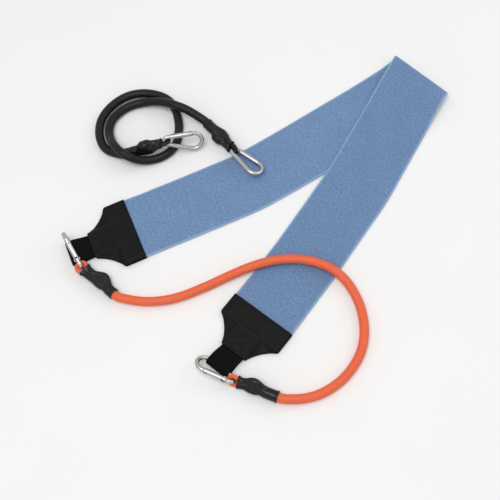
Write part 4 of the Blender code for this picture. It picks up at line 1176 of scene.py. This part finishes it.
def twisted(point, twist):
    x, y, z = point
    angle = twist * smoothstep((x - 3 * MM) / (23 * MM))
    return Vector((x, y * math.cos(angle) - z * math.sin(angle), y * math.sin(angle) + z * math.cos(angle)))


def main_strand(x, ball):
    """(y, radius) of the strand that runs from the tube past the ball, at x."""
    past = x - ball[0]
    radius = STRAND_R + (TUBE_R - STRAND_R) * smoothstep((past - 7.5 * MM) / (7 * MM))
    straight = LEG_Y * (1 - smoothstep((past - 7 * MM) / (8 * MM)))
    beside_ball = max(0.0, ball[1] + BALL_CLEAR + STRAND_R + 0.1 * MM - LEG_Y)
    return straight + beside_ball * (1 - smoothstep(abs(past) / (14.5 * MM))), radius


def leg(x):
    """(distance from the middle, half size along the wire) of either leg of the eye at x."""
    spread = LEG_Y + (EYE_R - LEG_Y) * (1 - smoothstep((x + 2 * MM) / (13 * MM)))
    return min(spread, EYE_R), STRAND_R + (PINCH_HALF - STRAND_R) * smoothstep((9 * MM - x) / (9 * MM))


def return_y(x, ball):
    return -leg(x)[0] + (ball[1] + LEG_Y) * 0.3 * smoothstep((x - 12 * MM) / (ball[0] - 18 * MM))


def reach(x, strand, radius=None):
    """How far out a strand's surface reaches at x, where strand gives its (y, radius) along the way."""
    best = 0.0
    for k in range(-24, 25):
        at = x + k * 0.25 * MM
        y, own = strand(at)
        own = radius or own
        if abs(at - x) < own:
            best = max(best, y + math.sqrt(own * own - (at - x) ** 2))
    return best


def eye_line(ball):
    """(x, y, half size in plane, half size along the wire) of the eye's centre line."""
    path = []
    x = SLEEVE_END - BORE_DEPTH
    while x > ball[0] - 11 * MM:
        y, radius = main_strand(x, ball)
        path.append((x, y, radius, radius))
        x -= 0.8 * MM
    low = 1.2 * MM
    for k in range(13):
        x = ball[0] - 12 * MM + (low - ball[0] + 12 * MM) * k / 12
        y, flat = leg(x)
        path.append((x, max(y, main_strand(x, ball)[0]), STRAND_R, flat))
    for k in range(25):
        angle = math.pi / 2 + math.pi * k / 24
        path.append((EYE_R * math.cos(angle), EYE_R * math.sin(angle), PINCH_R, PINCH_HALF))
    last = ball[0] - 6.3 * MM
    for k in range(21):
        x = low + (last - low) * k / 20
        path.append((x, return_y(x, ball), STRAND_R, leg(x)[1]))
    return path


def eye_rings(ball, twist):
    path = eye_line(ball)
    rings = []
    for i, (x, y, in_plane, along) in enumerate(path):
        before = path[max(0, i - 1)]
        after = path[min(len(path) - 1, i + 1)]
        tangent = Vector((after[0] - before[0], after[1] - before[1])).normalized()
        ring = []
        for j in range(24):
            angle = 2 * math.pi * j / 24
            a = in_plane * math.cos(angle)
            ring.append(twisted((x - tangent.y * a, y + tangent.x * a, along * math.sin(angle)), twist))
        rings.append(ring)
    return rings


def sleeve_sections(ball):
    """(x, main disc y, main radius, second disc y, second radius) along a sleeve."""
    strand = STRAND_R
    ball_r = BALL_R + 0.1 * MM
    sections = []
    for x in (SLEEVE_START, 6.3 * MM, 8.5 * MM, 11 * MM, 14 * MM):
        if x < ball[0] - 11.5 * MM:
            back = reach(x, leg, strand) - strand
            y = max(back, reach(x, lambda at: main_strand(at, ball)) - strand)
            sections.append((x, y, strand, -back, strand))
    for past, share, radius in (
        (-10, 0.12, strand), (-7.5, 0.4, strand + 1.0 * MM), (-5, 0.85, ball_r - 0.6 * MM), (-2.5, 1, ball_r),
        (0, 1, ball_r), (2.5, 1, ball_r), (5, 0.9, ball_r - 0.6 * MM), (8, 0.5, ball_r - 1.4 * MM),
        (11, 0.15, TUBE_R - 0.6 * MM), (14, 0, TUBE_R), (16, 0, TUBE_R),
    ):
        x = ball[0] + past * MM
        main = main_strand(x, ball)[1]
        y = reach(x, lambda at: main_strand(at, ball)) - main
        rest = -LEG_Y if past < 0 else 0.0
        sections.append((x, y, main, rest + (ball[1] - rest) * share, radius))
    sections.append((SLEEVE_END, 0.0, TUBE_R, 0.0, TUBE_R))
    return sections


def sleeve_outline(first, second, extra, valley, steps):
    """Points round two discs and the skin between them, which is hollowed by valley."""
    (y1, r1), (y2, r2) = first, second
    r1, r2 = r1 + extra, r2 + extra
    apart = y1 - y2
    if apart <= abs(r1 - r2) + 1e-6:
        y, r = (y1, r1) if r1 >= r2 else (y2, r2)
        outline = [(y + r * math.cos(math.pi * k / 48), r * math.sin(math.pi * k / 48)) for k in range(49)]
    else:
        lean = math.pi - math.acos(max(-1.0, min(1.0, (r2 - r1) / apart)))
        outline = [(y1 + r1 * math.cos(lean * k / 24), r1 * math.sin(lean * k / 24)) for k in range(25)]
        start = outline[-1]
        stop = (y2 + r2 * math.cos(lean), r2 * math.sin(lean))
        out = (math.cos(lean), math.sin(lean))
        for k in range(1, 16):
            t = k / 16
            dip = valley * math.sin(math.pi * t) ** 2
            outline.append(tuple(a + (b - a) * t - o * dip for a, b, o in zip(start, stop, out)))
        for k in range(25):
            angle = lean + (math.pi - lean) * k / 24
            outline.append((y2 + r2 * math.cos(angle), r2 * math.sin(angle)))
    line = np.array(outline)
    run = run_along(line)
    wanted = np.linspace(0, run[-1], steps // 2 + 1)
    half = [(float(np.interp(w, run, line[:, 0])), float(np.interp(w, run, line[:, 1]))) for w in wanted]
    return half + [(y, -z) for y, z in half[-2:0:-1]]


def sleeve_rings(ball, twist, steps=56):
    table = sleeve_sections(ball)
    xs = [row[0] for row in table]
    s = sizes()
    outer, inner = [], []
    count = 60
    for k in range(count + 1):
        x = SLEEVE_START + (SLEEVE_END - SLEEVE_START) * k / count
        y1, r1, y2, r2 = (eased(x, xs, [row[c] for row in table]) for c in (1, 2, 3, 4))
        gap = max(0.0, min(1.0, (y1 - y2 - abs(r1 - r2)) / (5 * MM)))
        valley = s.sleeve_valley * gap * smoothstep((x - SLEEVE_START) / (6 * MM))
        collar = s.sleeve_collar * (1 - smoothstep((SLEEVE_END - 1.6 * MM - x) / (0.8 * MM)))
        collar += 0.6 * s.sleeve_collar * (1 - smoothstep((x - SLEEVE_START - 1.2 * MM) / (0.8 * MM)))
        for rings, extra in ((outer, SLEEVE_GAP + SLEEVE_WALL + collar), (inner, SLEEVE_GAP)):
            outline = sleeve_outline((y1, r1), (y2, r2), extra, valley, steps)
            rings.append([(x, y, z) for y, z in outline])

    def lip(ring, within, ahead):
        """Rings that round a lip from one wall to the other."""
        made = []
        for k in range(1, 5):
            angle = math.pi * k / 5
            share, out = (1 - math.cos(angle)) / 2, math.sin(angle) * ahead
            made.append([
                (a[0] + out, a[1] + (b[1] - a[1]) * share, a[2] + (b[2] - a[2]) * share)
                for a, b in zip(ring, within)
            ])
        return made

    rows = outer + lip(outer[-1], inner[-1], 0.35 * MM) + inner[::-1] + lip(inner[0], outer[0], -0.35 * MM)
    return [[twisted(p, twist) for p in ring] for ring in rows]


def direction(heading, down):
    h = math.radians(heading)
    d = math.radians(down)
    return Vector((math.cos(d) * math.cos(h), math.cos(d) * math.sin(h), -math.sin(d)))


def arc_point(x_axis, y_axis, sleeve_dir):
    """The eye's contact with the narrow end, from the hook's origin."""
    angle = math.atan2(y_axis.dot(sleeve_dir), x_axis.dot(sleeve_dir))
    return x_axis * (NARROW_R + NARROW_R * math.cos(angle)) + y_axis * NARROW_R * math.sin(angle)


def end_matrix(hook_matrix, sleeve_dir, contact, strand_side, slack=0.0):
    """The tube end's frame where the eye sits on the hook's narrow end, with its +Y towards strand_side."""
    x_axis = hook_matrix.col[0].to_3d()
    y_axis = hook_matrix.col[1].to_3d()
    angle = math.atan2(y_axis.dot(sleeve_dir), x_axis.dot(sleeve_dir))
    out = Vector((math.cos(angle), math.sin(angle), 0))
    tangent = (y_axis * out.x - x_axis * out.y).normalized()
    if contact is None:
        contact = hook_matrix @ (Vector((NARROW_R, 0, 0)) + out * NARROW_R)
    across = tangent.cross(sleeve_dir)
    if across.dot(Vector(strand_side)) < 0:
        tangent = -tangent
        across = -across
    return frame_matrix(sleeve_dir, across, tangent, contact - sleeve_dir * slack)


def belt_clip_frames(
    hem, heading, aside, spine_x, skew, slide, lean, lift, sleeve_heading, strand_side, slack
):
    """(hook frame, tube end frame) of a clip whose spine lies in a webbing fold."""
    tab = tab_matrix(hem, heading)
    skew, lean = math.radians(skew), math.radians(lean)
    to_narrow = tab.to_3x3() @ Vector((-math.sin(skew), math.cos(skew), 0))
    outward = tab.to_3x3() @ Vector((math.cos(skew), math.sin(skew), 0))
    gate_side = outward * math.cos(lean) + Vector((0, 0, 1)) * math.sin(lean)
    x_axis = -to_narrow * math.cos(TAPER) + gate_side * math.sin(TAPER)
    y_axis = to_narrow * math.sin(TAPER) + gate_side * math.cos(TAPER)
    middle = tab @ Vector((spine_x * MM, aside, web_levels()[2] + lift * MM))
    origin = middle + to_narrow * slide * MM - x_axis * SPINE_NARROW.x - y_axis * SPINE_NARROW.y
    hook = frame_matrix(x_axis, y_axis, x_axis.cross(y_axis), origin)
    contact = origin + arc_point(x_axis, y_axis, direction(sleeve_heading, 0))
    sleeve_dir = direction(sleeve_heading, math.degrees(math.asin((contact.z - mouth_height()) / SLEEVE_END)))
    return hook, end_matrix(hook, sleeve_dir, None, strand_side, slack * MM)


def loose_clip_frames(contact, sleeve_heading, heading, down, roll, strand_side):
    """(hook frame, tube end frame) of a clip that hangs on an eye of the black tube."""
    contact = Vector(contact) * MM + SHIFT
    sleeve_dir = direction(sleeve_heading, math.degrees(math.asin((contact.z - mouth_height()) / SLEEVE_END)))
    x_axis = direction(heading, down)
    level = Vector((-x_axis.y, x_axis.x, 0)).normalized()
    y_axis = level * math.cos(math.radians(roll)) + x_axis.cross(level) * math.sin(math.radians(roll))
    hook = frame_matrix(x_axis, y_axis, x_axis.cross(y_axis), contact - arc_point(x_axis, y_axis, sleeve_dir))
    return hook, end_matrix(hook, sleeve_dir, contact, strand_side)


def mouth_height():
    return TUBE_R + SLEEVE_GAP + SLEEVE_WALL + 0.3 * MM


def all_clips():
    """(clip name, tube end name, body, end's body, hook frame, end frame, ball, twist) of the four clips."""
    found = []
    for row in BELT_CLIPS:
        hook, end = belt_clip_frames(*row[1:12])
        clip = f"{row[0]}_belt_clip"
        found.append((clip, f"coral_{row[0]}", clip, clip, hook, end, row[12], 0.0))
    for name, contact, sleeve_heading, heading, down, roll, strand_side, ball, twist in LOOSE_CLIPS:
        hook, end = loose_clip_frames(contact, sleeve_heading, heading, down, roll, strand_side)
        clip = f"loose_clip_{name}"
        found.append((clip, f"black_{name}", clip, "black_tube_set", hook, end, ball, math.radians(twist)))
    return found


def build_tube_end(name, body, matrix, rubber, ball, twist):
    ball = (ball[0] * MM, ball[1] * MM)
    bm = wrapped_grid(moved(eye_rings(ball, twist), matrix))
    eye = finished(f"{name}_loop", bm, material(rubber), body, 60)
    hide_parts(f"{name}_eye")
    bm = wrapped_grid(moved(sleeve_rings(ball, twist), matrix), loop_rows=True)
    sleeve = finished(f"{name}_grip_sleeve", bm, material("moulded sleeve"), body, 60)
    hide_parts(f"{name}_sleeve")


# Rubber tubes

def cord_end(matrix):
    """Where a tube starts inside a sleeve, its mouth and a straight lead out of it."""
    places = (SLEEVE_END - BORE_DEPTH + GAP, SLEEVE_END, SLEEVE_END + 4 * MM)
    return [matrix @ Vector((x, 0, 0)) for x in places]


def tube_line(ends, first, last, route):
    points = [Vector((x * MM, y * MM, TUBE_Z + z * MM)) + SHIFT for x, y, z in route]
    return catmull(cord_end(ends[first]) + points + cord_end(ends[last])[::-1], 9.5 * MM)[0]


def laid_tube(name, points, rubber):
    bm = wrapped_grid(tube_rings(points, TUBE_R, sizes().tube_steps))
    return finished(name, bm, material(rubber), None, 60)


def build_tubes():
    """The coral tube in two runs, split over the right arm, and the black tube."""
    ends = {row[1]: row[5] for row in all_clips()}
    line = tube_line(ends, "coral_left", "coral_right", CORAL_ROUTE)
    x, y, _ = CORAL_ROUTE[OVER_ARM]
    over_arm = Vector((x * MM, y * MM, 0)) + SHIFT
    middle = min(range(len(line)), key=lambda i: (line[i].xy - over_arm.xy).length)
    fine, _ = catmull(line, TUBE_SPACING)
    cut = min(range(len(fine)), key=lambda i: (fine[i] - line[middle]).length)
    for name, part, clip, first, bend in (
        ("coral_tube_left_run", fine[:cut + 1], "left_belt_clip", 3, Vector(LEFT_BEND_ALONG) * LEFT_BEND),
        ("coral_tube_right_run", fine[cut:], "right_belt_clip", -4, Vector(RIGHT_BEND_ALONG) * RIGHT_BEND),
    ):
        run = laid_tube(name, part, "coral latex")
        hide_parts("coral_tube")
        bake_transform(run)
        length = sum((b - a).length for a, b in zip(part[:-1], part[1:]))
    fine, length = catmull(tube_line(ends, "black_a", "black_b", BLACK_ROUTE), TUBE_SPACING)
    tube = laid_tube("black_tube_run", fine, "black latex")
    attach(tube, "black_tube_set")
    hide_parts("black_tube")


# Studio

def floor_material():
    """Pale paper, which the camera sees in the backdrop's tone far from the object."""
    mat, tree = blank("pale studio floor")
    tone = tuple(colours().floor)
    mottle = tree.ranged(tree.grain(9, 4, 0.5), 0.35, 0.65, 0, 1)
    tree.skin(tree.mixed(mottle, tone, brighter(tone, 0.992)), 0.9, (), {"Specular IOR Level": 0.1})
    length = tree.nodes.new("ShaderNodeVectorMath")
    length.operation = "LENGTH"
    tree.feed(length.inputs[0], tree.place("Object", (1, 1, 1)))
    away = tree.ranged(length.outputs["Value"], FADE_START, FADE_END, 0, 1)
    path = tree.nodes.new("ShaderNodeLightPath")
    seen = tree.sums("MULTIPLY", away, path.outputs["Is Camera Ray"])
    backdrop = tree.add("ShaderNodeEmission", {"Color": BACKDROP, "Strength": 1.0})
    paper = tree.either(seen, tree.nodes["Principled BSDF"].outputs[0], backdrop.outputs[0])
    tree.feed(tree.nodes["Material Output"].inputs["Surface"], paper)
    return mat


def add_light(name, place, target, size, power):
    data = bpy.data.lights.new(name, "AREA")
    data.shape = "RECTANGLE"
    data.size, data.size_y = size
    data.energy = power
    light = bpy.data.objects.new(name, data)
    bpy.context.scene.collection.objects.link(light)
    light.location = place
    light.rotation_euler = (Vector(target) - Vector(place)).to_track_quat("-Z", "Y").to_euler()


def studio_world():
    """Soft white light all round, which the camera and the metal see in the backdrop's tone."""
    world = bpy.data.worlds.new("pale studio")
    world.use_nodes = True
    tree = Tree(world.node_tree)
    tree.nodes.clear()
    path = tree.nodes.new("ShaderNodeLightPath")
    soft = tree.add("ShaderNodeBackground", {"Color": (1, 1, 1), "Strength": 0.6})
    seen = tree.add("ShaderNodeBackground", {"Color": BACKDROP, "Strength": 1.0})
    direct = tree.sums("MAXIMUM", path.outputs["Is Camera Ray"], path.outputs["Is Glossy Ray"])
    surface = tree.either(direct, soft.outputs[0], seen.outputs[0])
    tree.add("ShaderNodeOutputWorld", {"Surface": surface})
    return world


def build_studio():
    scene = bpy.context.scene
    bm = bmesh.new()
    bmesh.ops.create_grid(bm, x_segments=8, y_segments=8, size=FLOOR_HALF)
    bmesh.ops.translate(bm, verts=bm.verts, vec=(0, 0, -FLOOR_DROP))
    finished("studio_floor", bm, floor_material(), None)
    add_light("overhead_softbox", (-0.35, -0.35, 2.2), (0, 0, 0), (1.3, 1.3), 22.3)
    add_light("side_softbox", (1.6, 0.5, 1.3), (0, 0, 0), (1.1, 1.1), 5.6)
    scene.world = studio_world()
    data = bpy.data.cameras.new("photo_camera")
    data.lens = CAMERA_LENS
    data.sensor_width = 36
    data.clip_start = 0.01
    camera = bpy.data.objects.new("photo_camera", data)
    scene.collection.objects.link(camera)
    camera.matrix_world = frame_matrix(CAMERA_RIGHT, CAMERA_UP, CAMERA_RIGHT.cross(CAMERA_UP), CAMERA_PLACE)
    scene.camera = camera
    scene.view_settings.view_transform = "Standard"


# Operators

class BAND_OT_elastic_belt(bpy.types.Operator):
    """Build the folded elastic belt"""

    bl_idname = "resistance_band.elastic_belt"
    bl_label = "Elastic Belt"

    def execute(self, context):
        build_belt()
        return {"FINISHED"}


class BAND_OT_tabs(bpy.types.Operator):
    """Build the sewn tabs at both ends of the belt"""

    bl_idname = "resistance_band.tabs"
    bl_label = "Sewn Tabs"

    def execute(self, context):
        for side, hem, heading, _ in TABS:
            build_tab(side, hem, heading)
        return {"FINISHED"}


class BAND_OT_webbing(bpy.types.Operator):
    """Build the webbing loops that hold the belt clips"""

    bl_idname = "resistance_band.webbing"
    bl_label = "Webbing Loops"

    def execute(self, context):
        for side, hem, heading, aside in TABS:
            build_webbing(side, hem, heading, aside)
        return {"FINISHED"}


class BAND_OT_snap_hooks(bpy.types.Operator):
    """Build the four snap hooks with their gates, rivets and springs"""

    bl_idname = "resistance_band.snap_hooks"
    bl_label = "Snap Hooks"

    def execute(self, context):
        for clip, _, body, _, hook, _, _, _ in all_clips():
            build_snap_hook(clip, body, hook)
            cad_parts[f"{clip}_gate_spring"].data.materials[0] = material("plated steel")
        return {"FINISHED"}


class BAND_OT_tube_ends(bpy.types.Operator):
    """Build the eyes and moulded sleeves at the tubes' ends, and finish their stopper balls"""

    bl_idname = "resistance_band.tube_ends"
    bl_label = "Tube Ends"

    def execute(self, context):
        for _, name, _, body, _, end, ball, twist in all_clips():
            coral = name.startswith("coral")
            rubber, slot = ("coral latex", "coral_rubber") if coral else ("black latex", "black_rubber")
            build_tube_end(name, body, end, rubber, ball, twist)
            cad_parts[f"{name}_stopper_ball"].data.materials[0] = material("stopper ball")
        return {"FINISHED"}


class BAND_OT_tubes(bpy.types.Operator):
    """Build the coral tube and the black tube"""

    bl_idname = "resistance_band.tubes"
    bl_label = "Rubber Tubes"

    def execute(self, context):
        build_tubes()
        return {"FINISHED"}


class BAND_OT_studio(bpy.types.Operator):
    """Build the floor, the lights and the camera"""

    bl_idname = "resistance_band.studio"
    bl_label = "Studio"

    def execute(self, context):
        build_studio()
        return {"FINISHED"}


STEPS = (
    BAND_OT_studio, BAND_OT_tubes, BAND_OT_tube_ends, BAND_OT_snap_hooks, BAND_OT_webbing, BAND_OT_tabs,
    BAND_OT_elastic_belt,
)


class BAND_PT_panel(bpy.types.Panel):
    """Sizes, colours and build steps of the resistance band"""

    bl_label = "Resistance Band"
    bl_idname = "BAND_PT_panel"
    bl_space_type = "VIEW_3D"
    bl_region_type = "UI"
    bl_category = "Resistance Band"

    def draw(self, context):
        for group in (context.scene.band_sizes, context.scene.band_colours):
            box = self.layout.box()
            for name in group.bl_rna.properties.keys():
                if name not in ("rna_type", "name"):
                    box.prop(group, name)
        for step in STEPS:
            self.layout.operator(step.bl_idname)


CLASSES = (BandSizes, BandColours, *STEPS, BAND_PT_panel)


def register():
    for cls in CLASSES:
        bpy.utils.register_class(cls)
    bpy.types.Scene.band_sizes = PointerProperty(type=BandSizes)
    bpy.types.Scene.band_colours = PointerProperty(type=BandColours)


def unregister():
    del bpy.types.Scene.band_colours
    del bpy.types.Scene.band_sizes
    for cls in reversed(CLASSES):
        bpy.utils.unregister_class(cls)


def main():
    register()
    bpy.ops.resistance_band.studio()
    bpy.ops.resistance_band.tubes()
    bpy.ops.resistance_band.tube_ends()
    bpy.ops.resistance_band.snap_hooks()
    bpy.ops.resistance_band.webbing()
    bpy.ops.resistance_band.tabs()
    bpy.ops.resistance_band.elastic_belt()
    bpy.context.view_layer.update()


if __name__ == "__main__":
    main()
